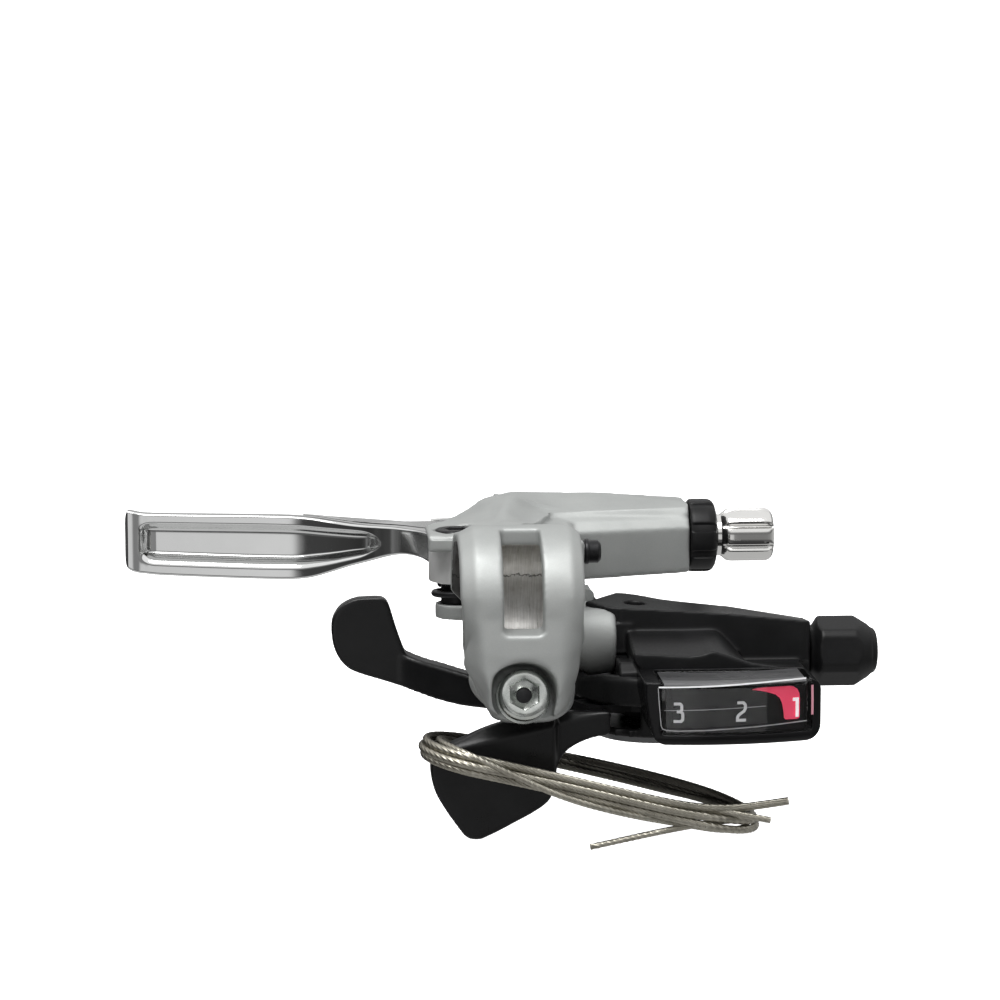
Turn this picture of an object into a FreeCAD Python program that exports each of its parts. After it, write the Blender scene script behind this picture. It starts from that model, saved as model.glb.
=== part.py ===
import FreeCAD, Part
import Sketcher
import math
import os

# Combined brake and trigger shift lever for a flat handlebar, left hand.
# Millimetres. The origin is the centre of the bar clamp's bore: X runs along
# the bar towards its middle, Y points forward, Z points up.

V = FreeCAD.Vector
doc = FreeCAD.newDocument("BrakeShiftLever")
sheet = doc.addObject("Spreadsheet::Sheet", "Dimensions")
ROWS = [
    # bar clamp
    ("bar_radius", 11.1), ("ring_radius", 14.3), ("ring_half", 11.2),
    ("ear_tilt", 18.0), ("ear_round", 11.2), ("ear_centre", 12.0),
    ("bolt_drop", 18.3), ("bolt_seat", 2.6), ("bolt_head_radius", 4.6),
    ("bolt_head_height", 4.3), ("bolt_shank_radius", 2.5), ("hex_key", 4.0),
    ("washer_radius", 4.9), ("washer_thickness", 0.8), ("bolt_reach", 6.6),
    ("recess_radius", 6.0), ("slit_half", 1.2), ("nut_flats", 8.0), ("nut_thickness", 2.6),
    # brake lever and its pivot
    ("pivot_x", -10.0), ("pivot_y", 21.0), ("hub_radius", 5.2), ("hub_bottom", 0.9),
    ("hub_top", 9.0), ("pivot_radius", 2.9), ("bush_outer", 3.55), ("bush_inner", 2.95),
    ("hood_bottom", 9.3), ("lug_top", -3.2), ("lug_bottom", -6.2),
    ("spring_radius", 4.1), ("spring_wire", 0.65), ("anchor_y", 46.0), ("anchor_radius", 3.15),
    ("cable_z", 5.2), ("cable_hole", 1.2),
    # brake cable adjuster
    ("barrel_y", 46.0), ("barrel_radius", 5.15), ("barrel_start", 42.6), ("barrel_end", 53.6),
    ("barrel_thread", 4.7), ("brake_socket", 3.05), ("brake_socket_depth", 9.0),
    ("lock_start", 36.5), ("lock_end", 41.9), ("lock_radius", 7.1),
    ("reach_y", 28.0), ("reach_z", 5.0), ("reach_radius", 2.1),
    # shifter mechanism
    ("axle_x", 26.5), ("axle_y", 15.5), ("axle_radius", 3.0), ("drum_groove", 6.2),
    ("drum_flange", 7.2), ("ratchet_root", 7.0), ("ratchet_tip", 8.0), ("plate_hole", 3.06),
    ("boss_y", 18.5), ("boss_z", -9.5), ("fixing_radius", 2.5),
    ("cover_radius", 12.7), ("cover_inner", 11.5), ("cover_top", -17.1), ("cover_floor", -27.0),
    ("pawl_thickness", 1.4), ("pawl_pin", 0.7), ("pawl_ring", 9.9),
    # shift cable adjuster
    ("shift_y", 22.0), ("shift_z", -13.6), ("shift_start", 56.6), ("shift_end", 69.6),
    ("shift_flats", 6.1), ("shift_socket", 2.6), ("shift_stem", 2.9),
    # gear indicator
    ("arc_x", 34.3), ("arc_y", 41.0), ("lens_outer", 53.7), ("lens_inner", 52.7),
    ("pointer_outer", 52.2), ("pointer_inner", 51.7), ("dial_outer", 51.2), ("dial_inner", 50.4),
    # hung cable
    ("coil_section", 2.4), ("gear_cable", 0.6), ("brake_cable", 0.75),
]
for i, (name, value) in enumerate(ROWS, 1):
    sheet.set("A%d" % i, name)
    sheet.set("B%d" % i, repr(value))
    sheet.setAlias("B%d" % i, name)
doc.recompute()


class Size:
    """A length with the sheet expression that it comes from."""

    def __init__(self, text, value):
        self.text, self.value = text, value

    def __add__(self, o):
        o = size(o)
        return Size("(%s + %s)" % (self.text, o.text), self.value + o.value)

    def __sub__(self, o):
        o = size(o)
        return Size("(%s - %s)" % (self.text, o.text), self.value - o.value)

    def __neg__(self):
        return Size("(-1 * %s)" % self.text, -self.value)

    def __mul__(self, k):
        return Size("(%s * %r)" % (self.text, float(k)), self.value * k)


def size(x):
    return x if isinstance(x, Size) else Size("%r" % float(x), float(x))


def val(x):
    return x.value if isinstance(x, Size) else float(x)


def S(name):
    return Size("Dimensions." + name, float(sheet.get(name)))


def N(name):
    return float(sheet.get(name))


nodes = []


def keep(obj, label, place=None):
    obj.Label = label
    if place is not None:
        obj.Placement = place
    nodes.append(obj)
    return obj


def at(x, y, z, axis=None, angle=0.0):
    return FreeCAD.Placement(V(x, y, z), FreeCAD.Rotation(axis or V(0, 0, 1), angle))


def along_x(x, y, z, turn=0.0):
    r = FreeCAD.Rotation(V(0, 1, 0), 90).multiply(FreeCAD.Rotation(V(0, 0, 1), turn))
    return FreeCAD.Placement(V(x, y, z), r)


def bind(sk, c, x):
    if isinstance(x, Size):
        sk.setExpression("Constraints[%d]" % c, x.text)


def pin(sk, g, pos, x, y):
    for kind, w, axis in (("DistanceX", x, -2), ("DistanceY", y, -1)):
        v = val(w)
        if abs(v) < 1e-9:
            sk.addConstraint(Sketcher.Constraint("PointOnObject", g, pos, axis))
        elif v > 0:
            bind(sk, sk.addConstraint(Sketcher.Constraint(kind, -1, 1, g, pos, v)), w)
        else:
            c = sk.addConstraint(Sketcher.Constraint(kind, g, pos, -1, 1, -v))
            if isinstance(w, Size):
                bind(sk, c, -w)


def draw(body, role, loops):
    sk = body.newObject("Sketcher::SketchObject", "Sketch")
    plane = [o for o in body.Origin.OriginFeatures if o.Role == role][0]
    sk.AttachmentSupport = [(plane, "")]
    sk.MapMode = "FlatFace"
    for loop in loops:
        if loop[0] == "circle":
            _, cx, cy, r = loop
            g = sk.addGeometry(Part.Circle(V(val(cx), val(cy), 0), V(0, 0, 1), val(r)), False)
            bind(sk, sk.addConstraint(Sketcher.Constraint("Radius", g, val(r))), r)
            if abs(val(cx)) < 1e-9 and abs(val(cy)) < 1e-9:
                sk.addConstraint(Sketcher.Constraint("Coincident", g, 3, -1, 1))
            else:
                pin(sk, g, 3, cx, cy)
        else:
            pts = loop[1]
            n, g0 = len(pts), sk.GeometryCount
            for i in range(n):
                a, b = pts[i], pts[(i + 1) % n]
                sk.addGeometry(Part.LineSegment(V(val(a[0]), val(a[1]), 0), V(val(b[0]), val(b[1]), 0)), False)
            for i in range(n):
                sk.addConstraint(Sketcher.Constraint("Coincident", g0 + i, 2, g0 + (i + 1) % n, 1))
            for i in range(n):
                pin(sk, g0 + i, 1, *pts[i])
    return sk


def new_body(label):
    return doc.addObject("PartDesign::Body", label)


def revolved(body, profile):
    """Turn a closed (radius, height) profile about the body's Z axis."""
    sk = draw(body, "XZ_Plane", [("poly", profile)])
    f = body.newObject("PartDesign::Revolution", "Turned")
    f.Profile = sk
    f.ReferenceAxis = (sk, ["V_Axis"])
    f.Angle = 360.0
    doc.recompute()
    return f


def padded(body, loops, height):
    sk = draw(body, "XY_Plane", loops)
    f = body.newObject("PartDesign::Pad", "Pad")
    f.Profile = sk
    f.Length = val(height)
    if isinstance(height, Size):
        f.setExpression("Length", height.text)
    doc.recompute()
    return f


def pocketed(body, loops, depth, base):
    """Cut loops drawn at height base downwards by depth."""
    sk = draw(body, "XY_Plane", loops)
    sk.AttachmentOffset = at(0, 0, val(base))
    if isinstance(base, Size):
        sk.setExpression("AttachmentOffset.Base.z", base.text)
    before = body.Shape.Volume
    f = body.newObject("PartDesign::Pocket", "Pocket")
    f.Profile = sk
    f.Length = val(depth)
    if isinstance(depth, Size):
        f.setExpression("Length", depth.text)
    doc.recompute()
    if body.Shape.Volume > before - 1e-4:
        f.Reversed = True
        doc.recompute()
    return f


def round_about(body, feature, count):
    p = body.newObject("PartDesign::PolarPattern", "Round")
    p.Originals = [feature]
    z = [o for o in body.Origin.OriginFeatures if o.Role == "Z_Axis"][0]
    p.Axis = (z, [""])
    p.Angle = 360.0
    p.Occurrences = count
    body.Tip = p
    doc.recompute()
    return p


def ngon(n, flat, turn=0.0):
    """Corners of a regular polygon whose flats are at distance flat (a Size or number)."""
    out = []
    for i in range(n):
        a = math.radians(turn + 360.0 * i / n)
        k = 1.0 / math.cos(math.pi / n)
        f = size(flat)
        x, y = math.cos(a) * k, math.sin(a) * k
        out.append((f * x if abs(x) > 1e-9 else 0.0, f * y if abs(y) > 1e-9 else 0.0))
    return out


def feature(label, shape, place=None):
    f = doc.addObject("Part::Feature", label)
    f.Shape = shape
    return keep(f, label, place)


def box(x0, x1, y0, y1, z0, z1):
    return Part.makeBox(x1 - x0, y1 - y0, z1 - z0, V(x0, y0, z0))


def cyl(r, z0, z1, x=0.0, y=0.0):
    return Part.makeCylinder(r, z1 - z0, V(x, y, z0))


def xcyl(r, x0, x1, y, z):
    return Part.makeCylinder(r, x1 - x0, V(x0, y, z), V(1, 0, 0))


def flat_xy(pts, z0, z1):
    w = Part.makePolygon([V(x, y, z0) for x, y in pts] + [V(pts[0][0], pts[0][1], z0)])
    return Part.Face(w).extrude(V(0, 0, z1 - z0))


def flat_yz(pts, x0, x1):
    w = Part.makePolygon([V(x0, y, z) for y, z in pts] + [V(x0, pts[0][0], pts[0][1])])
    return Part.Face(w).extrude(V(x1 - x0, 0, 0))


def flat_xz(pts, y0, y1):
    w = Part.makePolygon([V(x, y0, z) for x, z in pts] + [V(pts[0][0], y0, pts[0][1])])
    return Part.Face(w).extrude(V(0, y1 - y0, 0))


def wire_of(pts):
    return Part.makePolygon([V(*p) for p in pts] + [V(*pts[0])])


def ruled(*sections):
    return Part.makeLoft([wire_of(s) for s in sections], True, True)


def yz(x, pts):
    return [(x, y, z) for y, z in pts]


def mid(edge):
    return edge.valueAt((edge.FirstParameter + edge.LastParameter) / 2.0)


def softened(shape, radius, pick):
    """Round the picked edges; an edge that takes no round of that radius stays sharp."""
    edges = [x for x in shape.Edges if pick(x)]
    if not edges:
        return shape
    try:
        out = shape.makeFillet(radius, edges)
        if out.isValid() and out.Volume > 0.7 * shape.Volume and len(out.Solids) == 1:
            return out
    except Exception:
        pass
    for m in [mid(x) for x in edges]:
        near = [x for x in shape.Edges if (mid(x) - m).Length < 0.02]
        if near:
            try:
                out = shape.makeFillet(radius, near[:1])
                if out.isValid() and out.Volume > 0.9 * shape.Volume and len(out.Solids) == 1:
                    shape = out
            except Exception:
                pass
    return shape


def one(shape):
    tidy = shape.removeSplitter()
    return solid(tidy if tidy.isValid() else shape)


def solid(shape):
    if shape.ShapeType != "Solid":
        shape = sorted(shape.Solids, key=lambda x: -x.Volume)[0]
    return shape


def joined(first, *rest):
    """Fuse one piece after another."""
    out = solid(first)
    for other in rest:
        both = out.fuse(solid(other))
        tidy = both.removeSplitter()
        out = solid(tidy if tidy.isValid() else both)
    return out


# ---------------------------------------------------------------- bracket
R, RO, RH = N("bar_radius"), N("ring_radius"), N("ring_half")
PX, PY = N("pivot_x"), N("pivot_y")
BY, BZ = N("barrel_y"), N("cable_z")
tilt = N("ear_tilt")
EAR = at(0, 0, 0, V(1, 0, 0), -tilt)

er, ec = N("ear_round"), N("ear_centre")

# clamp ring and split ear as one outline, seen along the bar in the ear's own frame
a0, a1 = math.radians(200.0), math.radians(-40.0)
top = math.radians(80.0)
pa = V(-RH, RO * math.cos(a0), RO * math.sin(a0))
pb = V(-RH, RO * math.cos(a1), RO * math.sin(a1))
pt = V(-RH, RO * math.cos(top), RO * math.sin(top))
corners = [pa] + [V(-RH, y, z) for y, z in [(-12.4, -11.5), (-10.9, -17.5), (-9.6, -23.4), (6.5, -23.4), (8.0, -14.0)]] + [pb]
clamp_wire = Part.Wire([Part.Arc(pb, pt, pa).toShape()] + Part.makePolygon(corners).Edges)
clamp = Part.Face(clamp_wire).extrude(V(2 * RH, 0, 0))
arc = Part.Arc(V(-RH, -20, -ec), V(0, -20, -ec - er), V(RH, -20, -ec)).toShape()
rest = Part.makePolygon([V(RH, -20, -ec), V(RH, -20, 20), V(-RH, -20, 20), V(-RH, -20, -ec)])
outline = Part.Face(Part.Wire([arc] + rest.Edges)).extrude(V(0, 40, 0))
clamp = solid(clamp.common(outline))


# bevels: round the ring's two ends, then along the ear's rim
for x0, x1, r0 in ((-RH, -8.2, 12.7), (RH, 9.0, 12.9)):
    way = 1 if x1 > x0 else -1
    disc = Part.makeCylinder(RO + 0.02, abs(x1 - x0) + 1.0, V(x0 - way, 0, 0), V(way, 0, 0))
    clamp = solid(clamp.cut(disc.cut(Part.makeCone(r0 - 1.0 * (RO - r0) / abs(x1 - x0), RO + 0.02, abs(x1 - x0) + 1.0, V(x0 - way, 0, 0), V(way, 0, 0)))))


def rim(inset, y):
    r = er - inset
    a = Part.Arc(V(-r, y, -9.6), V(0, y, -9.6 - r), V(r, y, -9.6)).toShape()
    p = Part.makePolygon([V(r, y, -9.6), V(r, y, 3.0), V(-r, y, 3.0), V(-r, y, -9.6)])
    return Part.Wire([a] + p.Edges)


wedge = box(-13, 13, -14.6, -12.5, -26, -1.2).cut(Part.makeLoft([rim(-0.15, -12.4), rim(3.0, -14.6)], True, True))
wedge.Placement = at(0, 0, 0, V(1, 0, 0), 11.6)
clamp = solid(clamp.cut(wedge))
slit = box(-14, 14, -N("slit_half"), N("slit_half"), -26, -9.0)
recess = Part.makeCylinder(N("recess_radius"), 20, V(0, -N("bolt_seat"), -N("bolt_drop")), V(0, -1, 0))
through = Part.makeCylinder(N("bolt_shank_radius") + 0.05, 30, V(0, -10, -N("bolt_drop")), V(0, 1, 0))
nut_seat = box(-4.1, 4.1, 3.9, 6.7, -N("bolt_drop") - 4.1, -N("bolt_drop") + 4.1)
window = flat_yz([(-2.5, 20.0), (-2.5, -2.4), (-10.0, -2.5), (-16.5, -3.85), (-16.5, 20.0)], -3.45, 3.55)
window.Placement = EAR.inverse()
for c in (recess, through, xcyl(R, -40, 40, 0, 0), slit, nut_seat, window):
    clamp = clamp.cut(c)
clamp = solid(clamp)
clamp.Placement = EAR

sleeve = xcyl(13.0, -11.6, RH, 0, 0).common(box(-20, 20, 2.0, 20, -20, 20))

hood_plan = flat_xy([(-15.6, 13.2), (-15.6, 27.0), (-11.5, 34.5), (-5.5, 43.0), (1.5, 52.8), (36.3, 53.0), (36.3, 43.2),
                     (12.0, 41.0), (12.5, 13.2)], N("hood_bottom"), 18.0)
hood_side = flat_xz([(-18, 0), (-18, 11.0), (-12.5, 11.5), (-9.0, 12.1), (-4.0, 13.7), (2.0, 14.2), (20, 13.6), (36.5, 12.5), (36.5, 0)], 0, 60)
hood = hood_plan.common(hood_side)
lip = box(-15.6, -4.0, 13.2, 15.4, 7.4, 11.2)
block = ruled(
    yz(-1.0, [(34.0, -2.4), (33.4, 7.2), (37.5, 11.8), (40.0, 14.0), (52.8, 14.0), (52.8, -2.4)]),
    yz(14.0, [(36.6, -2.0), (36.2, 7.3), (40.0, 11.8), (41.8, 13.8), (52.9, 13.7), (52.9, -2.0)]),
    yz(36.3, [(39.8, -1.2), (39.5, 7.6), (42.0, 11.2), (43.2, 12.5), (53.0, 12.4), (53.0, -1.2)]),
)
web = box(-4.3, 13.0, 9.0, 38.0, -2.2, 9.8)
slope = ruled(
    yz(-4.0, [(12.0, 9.0), (12.0, 11.6), (34.0, 12.4), (38.5, 9.0)]),
    yz(13.0, [(12.0, 8.0), (12.0, 9.2), (36.0, 11.6), (38.5, 8.0)]),
)
foot = box(6.0, 15.8, 17.0, 30.0, -3.8, -1.6)
lower = flat_yz([(9.0, 2.0), (9.0, -9.5), (13.0, -15.0), (20.0, -15.8), (24.0, -13.5), (25.0, 0.0)], -4.0, 11.5)
boss = Part.makeCone(6.55, 5.6, 7.0, V(11.4, N("boss_y"), N("boss_z")), V(1, 0, 0))
lug = cyl(4.0, N("lug_bottom"), N("lug_top"), PX, PY)
lug_arm = flat_xy([(PX, PY - 4.0), (-2.0, 14.0), (-2.0, 26.0), (PX, PY + 4.0)], N("lug_bottom"), N("lug_top"))

body = joined(clamp, sleeve, web, slope, hood, lip, block, foot, lower, boss, lug_arm, lug)
cuts = [
    xcyl(R, -40, 40, 0, 0),
    cyl(3.0, -10, 20, PX, PY),
    cyl(4.2, 10.1, 20, PX, PY),
    xcyl(N("barrel_thread") + 0.05, 24.0, 40, BY, BZ),
    xcyl(1.6, -5.0, 25.0, BY, BZ),
    xcyl(N("reach_radius") + 0.05, -10, 14, N("reach_y"), N("reach_z")),
    xcyl(N("fixing_radius") + 0.05, 4.0, 30, N("boss_y"), N("boss_z")),
    # room for the lever's cable arm under the hood
    flat_xy([(-16, 15.8), (-4.6, 15.8), (-4.6, 53.5), (-30, 53.5), (-30, 27)], -2.6, N("hood_bottom")).cut(box(-20, -4.0, 10, 15.6, -5, 20)),
]
for c in cuts:
    body = body.cut(c)
body = one(body)


def on_block(x):
    m = mid(x)
    return m.y > 38.0 and m.x > 6.0 and x.Length > 6.0 and m.z > 6.0 and m.x < 36.0


body = softened(body, 0.8, on_block)
body = softened(body, 0.7, lambda x: mid(x).x < -2 and mid(x).z > 10.4 and mid(x).y > 12 and x.Length > 3.0 and x.Curve.TypeId == "Part::GeomLine")
feature("bracket_body", body)

# ---------------------------------------------------------------- clamp fasteners
b = new_body("clamp_bolt")
hh = S("bolt_head_height")
revolved(b, [(0.0, -(S("bolt_reach") + S("bolt_seat"))), (S("bolt_shank_radius") - 0.4, -(S("bolt_reach") + S("bolt_seat"))),
             (S("bolt_shank_radius"), -(S("bolt_reach") + S("bolt_seat") - 0.5)), (S("bolt_shank_radius"), 0.0),
             (S("bolt_head_radius"), 0.0), (S("bolt_head_radius"), hh - 0.5), (S("bolt_head_radius") - 0.5, hh), (0.0, hh)])
pocketed(b, [("poly", ngon(6, S("hex_key") * 0.5, 30))], 2.4, hh)
pocketed(b, [("circle", 0.0, 0.0, 1.4)], 3.4, hh)
seat = EAR.multiply(FreeCAD.Placement(V(0, -N("bolt_seat") - N("washer_thickness"), -N("bolt_drop")), FreeCAD.Rotation(V(1, 0, 0), 90)))
keep(b, "clamp_bolt", seat)

b = new_body("clamp_washer")
padded(b, [("circle", 0.0, 0.0, S("washer_radius")), ("circle", 0.0, 0.0, S("bolt_shank_radius") + 0.1)], S("washer_thickness"))
keep(b, "clamp_washer", EAR.multiply(FreeCAD.Placement(V(0, -N("bolt_seat"), -N("bolt_drop")), FreeCAD.Rotation(V(1, 0, 0), 90))))

b = new_body("clamp_nut")
padded(b, [("poly", ngon(4, S("nut_flats") * 0.5, 45)), ("circle", 0.0, 0.0, S("bolt_shank_radius"))], S("nut_thickness"))
keep(b, "clamp_nut", EAR.multiply(FreeCAD.Placement(V(0, 6.55, -N("bolt_drop")), FreeCAD.Rotation(V(1, 0, 0), 90))))

# ---------------------------------------------------------------- brake lever
STATIONS = [
    # x, y, heading (degrees from +Y towards -X), low z, high z, thickness
    (-10.6, 24.0, 8.0, 1.6, 8.9, 8.6),
    (-12.6, 31.0, 24.0, 3.4, 8.9, 7.6),
    (-17.2, 38.6, 40.0, 3.5, 8.9, 6.6),
    (-24.5, 45.2, 58.0, 0.8, 8.8, 6.0),
    (-34.0, 49.8, 72.0, -2.7, 8.9, 5.6),
    (-44.0, 52.3, 80.0, -3.9, 9.1, 5.4),
    (-58.0, 54.0, 86.0, -3.4, 9.4, 5.2),
    (-69.0, 54.6, 88.0, -2.7, 9.7, 5.0),
    (-72.6, 54.7, 88.0, -1.6, 9.6, 4.6),
]


def lever_section(x, y, head, z0, z1, t, c=1.1):
    a = math.radians(head)
    nx, ny = math.cos(a), math.sin(a)
    half = t / 2.0
    out = []
    for u, z in [(-half + c, z0), (half - c, z0), (half, z0 + c), (half, z1 - c), (half - c, z1), (-half + c, z1), (-half, z1 - c), (-half, z0 + c)]:
        out.append((x + nx * u, y + ny * u, z))
    return out


blade = Part.makeLoft([wire_of(lever_section(*s)) for s in STATIONS], True, False)
hub = cyl(N("hub_radius"), N("hub_bottom"), N("hub_top"), PX, PY)
arm = flat_xy([(PX - 3.2, PY), (PX + 3.0, PY), (PX + 3.2, N("anchor_y")), (PX - 4.0, N("anchor_y")), (PX - 5.5, 36.0)], 2.0, 8.4)
eye = cyl(4.9, 2.0, 8.4, PX, N("anchor_y"))
lever = joined(blade, hub, arm, eye)
dish = []
for x, y, head, z0, z1, t in STATIONS[3:8]:
    a = math.radians(head)
    nx, ny = -math.cos(a), -math.sin(a)
    dish.append((x, y, nx, ny, z0, z1, t))
sections = []
for i, (x, y, nx, ny, z0, z1, t) in enumerate(dish):
    lo, hi = z0 + 2.2, z1 - 2.2
    if i == 0:
        lo, hi = z0 + 2.6, z1 - 2.6
    rows = [(t / 2 + 2.0, lo - 0.4), (t / 2 + 2.0, hi + 0.4), (t / 2 - 2.0, hi - 0.9), (t / 2 - 2.0, lo + 0.9)]
    sections.append([(x + nx * u, y + ny * u, z) for u, z in rows])
lever = lever.cut(Part.makeLoft([wire_of(s) for s in sections], True, False))
lever = lever.cut(cyl(N("bush_outer"), -5, 15, PX, PY))
lever = lever.cut(cyl(N("anchor_radius") + 0.05, -5, 15, PX, N("anchor_y")))
lever = lever.cut(box(PX, PX + 8, N("anchor_y") - 1.3, N("anchor_y") + 1.3, BZ - 1.3, BZ + 1.3))
feature("brake_lever", one(lever))

b = new_body("lever_pivot_bolt")
revolved(b, [(0.0, S("lug_bottom")), (S("pivot_radius") - 0.3, S("lug_bottom")), (S("pivot_radius"), S("lug_bottom") + 0.3), (S("pivot_radius"), 10.1),
             (3.95, 10.1), (3.95, 10.9), (3.6, 11.2), (0.0, 11.2)])
pocketed(b, [("poly", ngon(6, 2.0, 0))], 1.2, 11.2)
keep(b, "lever_pivot_bolt", at(PX, PY, 0))

b = new_body("pivot_bush")
padded(b, [("circle", 0.0, 0.0, S("bush_outer")), ("circle", 0.0, 0.0, S("bush_inner"))], S("hub_top") - S("hub_bottom"))
keep(b, "pivot_bush", at(PX, PY, N("hub_bottom")))

wire = N("spring_wire")
helix = Part.makeHelix(1.45, 2.0, N("spring_radius"))
prof = Part.Wire([Part.Circle(V(N("spring_radius"), 0, 0), V(0, 1, 0), wire).toShape()])
coil = Part.Wire(helix.Edges).makePipeShell([prof], True, True)
feature("lever_return_spring", coil.Solids[0] if coil.Solids else coil, at(PX, PY, -2.2))

b = new_body("cable_anchor")
padded(b, [("circle", 0.0, 0.0, S("anchor_radius"))], 6.0)
keep(b, "cable_anchor", at(PX, N("anchor_y"), 2.2))

b = new_body("reach_screw")
rr = S("reach_radius")
revolved(b, [(0.0, -4.9), (rr - 0.6, -4.9), (rr, -4.1), (rr, 13.2), (2.75, 13.2), (2.75, 13.9), (rr + 0.1, 14.1), (rr + 0.1, 14.7), (2.45, 14.8), (2.45, 15.4),
             (rr + 0.1, 15.5), (rr + 0.1, 17.2), (rr - 0.5, 17.8), (0.0, 17.8)])
pocketed(b, [("poly", ngon(6, 1.0, 0))], 1.6, 17.8)
keep(b, "reach_screw", along_x(0, N("reach_y"), N("reach_z")))

# ---------------------------------------------------------------- brake cable adjuster
b = new_body("brake_barrel_adjuster")
x0 = S("barrel_start")
br, bt, be = S("barrel_radius"), S("barrel_thread"), S("barrel_end")
revolved(b, [(S("cable_hole"), 25.0), (bt - 0.5, 25.0), (bt, 25.5), (bt, x0 - 0.1), (bt + 0.1, x0), (br - 0.35, x0 + 0.5), (br - 0.35, x0 + 1.6), (br, x0 + 2.1), (br, be - 0.9), (br - 0.7, be),
             (S("brake_socket"), be), (S("brake_socket"), be - S("brake_socket_depth")), (S("cable_hole"), be - S("brake_socket_depth") - 1.2)])
p = pocketed(b, [("circle", br + 0.45, 0.0, 1.15)], be - x0 - 2.4, be + 0.1)
round_about(b, p, 12)
keep(b, "brake_barrel_adjuster", along_x(0, BY, BZ))

b = new_body("brake_lock_ring")
l0, l1, lr = S("lock_start"), S("lock_end"), S("lock_radius")
revolved(b, [(S("barrel_thread") + 0.05, l0), (lr - 0.3, l0), (lr, l0 + 0.4), (lr, l1 - 1.9), (lr - 0.35, l1 - 1.0), (lr - 1.1, l1 - 0.25), (lr - 1.6, l1), (S("barrel_thread") + 0.05, l1)])
p = pocketed(b, [("circle", lr + 1.0, 0.0, 1.5)], 3.2, l0 + 3.1)
round_about(b, p, 8)
keep(b, "brake_lock_ring", along_x(0, BY, BZ, 11))

# ---------------------------------------------------------------- shifter housings
AX, AY = N("axle_x"), N("axle_y")
SY, SZ = N("shift_y"), N("shift_z")
CT, CF = N("cover_top"), N("cover_floor")

main = ruled(
    yz(19.0, [(14.4, -4.6), (26.6, -3.6), (28.5, -8.0), (28.5, CT), (3.6, CT), (3.4, -14.0)]),
    yz(24.0, [(14.2, -4.2), (27.4, -3.0), (28.8, -8.0), (28.8, CT), (3.4, CT), (3.1, -13.8)]),
    yz(41.0, [(14.6, -5.6), (27.4, -5.2), (28.8, -9.0), (28.8, CT), (3.4, CT), (3.1, -13.8)]),
)
tunnel = ruled(
    yz(39.5, [(14.5, -5.5), (27.4, -5.1), (28.8, -9.0), (28.8, CT - 1.5), (16.0, CT - 1.5), (14.7, -10.0)]),
    yz(56.3, [(16.6, -8.0), (26.4, -7.7), (27.9, -9.6), (27.9, -18.6), (16.4, -18.6), (15.4, -10.2)]),
)
shelf = ruled(
    yz(22.8, [(3.0, -13.8), (6.0, -13.8), (6.0, CT), (2.9, CT)]),
    yz(40.0, [(3.0, -13.8), (17.5, -12.4), (17.5, CT), (2.9, CT)]),
    yz(54.0, [(3.0, -14.2), (17.5, -13.6), (17.5, CT), (2.9, CT)]),
)
house = joined(main, tunnel, shelf)
house = one(house)
house = softened(house, 1.2, lambda x: x.Length > 8 and mid(x).z > -12.5 and mid(x).y > 12 and mid(x).x > 20)
for c in [
    cyl(8.7, CT - 3, -12.4, AX, AY),
    cyl(4.7, -13, -9.6, AX, AY),
    xcyl(1.3, AX, 57, SY, SZ),
    box(AX, 47.5, SY - 1.3, SY + 1.3, CT - 4, SZ),
    xcyl(N("shift_stem") + 0.06, 47.0, 57, SY, SZ),
    cyl(2.05, -6.4, 5, 23.3, 20.0),
    xcyl(N("fixing_radius") + 0.05, 10, 20.5, N("boss_y"), N("boss_z")),
    xcyl(3.0, 20.2, 21.8, N("boss_y"), N("boss_z")),
    cyl(1.1, CT - 4, CT + 4.0, 36.5, 25.2),
    cyl(1.1, CT - 4, CT + 4.0, 37.2, 7.6),
]:
    house = house.cut(c)
feature("shifter_housing", one(house))

b = new_body("top_screw")
padded(b, [("circle", 0.0, 0.0, 2.0), ("poly", [(-1.2, -0.25), (1.2, -0.25), (1.2, 0.25), (-1.2, 0.25)])], 1.2)
keep(b, "top_screw", at(23.3, 20.0, -6.4))

cover = cyl(N("cover_radius"), -26.0, CT, AX, AY)
cover = joined(cover, box(31.0, 38.8, 2.9, 27.8, -20.5, CT))
cover = cover.cut(cyl(N("cover_inner"), -25.0, CT + 1, AX, AY))
cover = cover.cut(cyl(5.4, -30, CT, AX, AY))
# window for the two levers
cover = cover.cut(flat_xy([(AX, AY), (AX - 9.5, AY + 20), (AX - 26, AY + 20), (AX - 26, AY - 26), (AX - 8.0, AY - 26)], -24.6, -20.15))
for x, y in ((36.5, 25.2), (37.2, 7.6)):
    cover = cover.cut(cyl(1.25, -30, 0, x, y))
    cover = cover.cut(cyl(2.2, -30, -19.6, x, y))
# ribs on the rear left quarter
for k in range(4):
    a = math.radians(206 + 13 * k)
    rib = box(-0.5, 0.5, -0.45, 0.45, -26.0, -24.7)
    rib.Placement = at(AX + 12.75 * math.cos(a), AY + 12.75 * math.sin(a), 0)
    cover = cover.fuse(rib)
feature("shifter_base_cover", one(cover))

cap = Part.makeCone(12.2, 10.8, 1.4, V(AX, AY, -26.05), V(0, 0, -1))
cap = cap.fuse(cyl(5.3, -27.4, -25.2, AX, AY))
cap = one(cap.removeSplitter())
cap = softened(cap, 0.9, lambda x: mid(x).z < -27.2)
cap = cap.cut(cyl(4.95, -26.3, -20, AX, AY))
feature("bottom_cap", one(cap))

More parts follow.
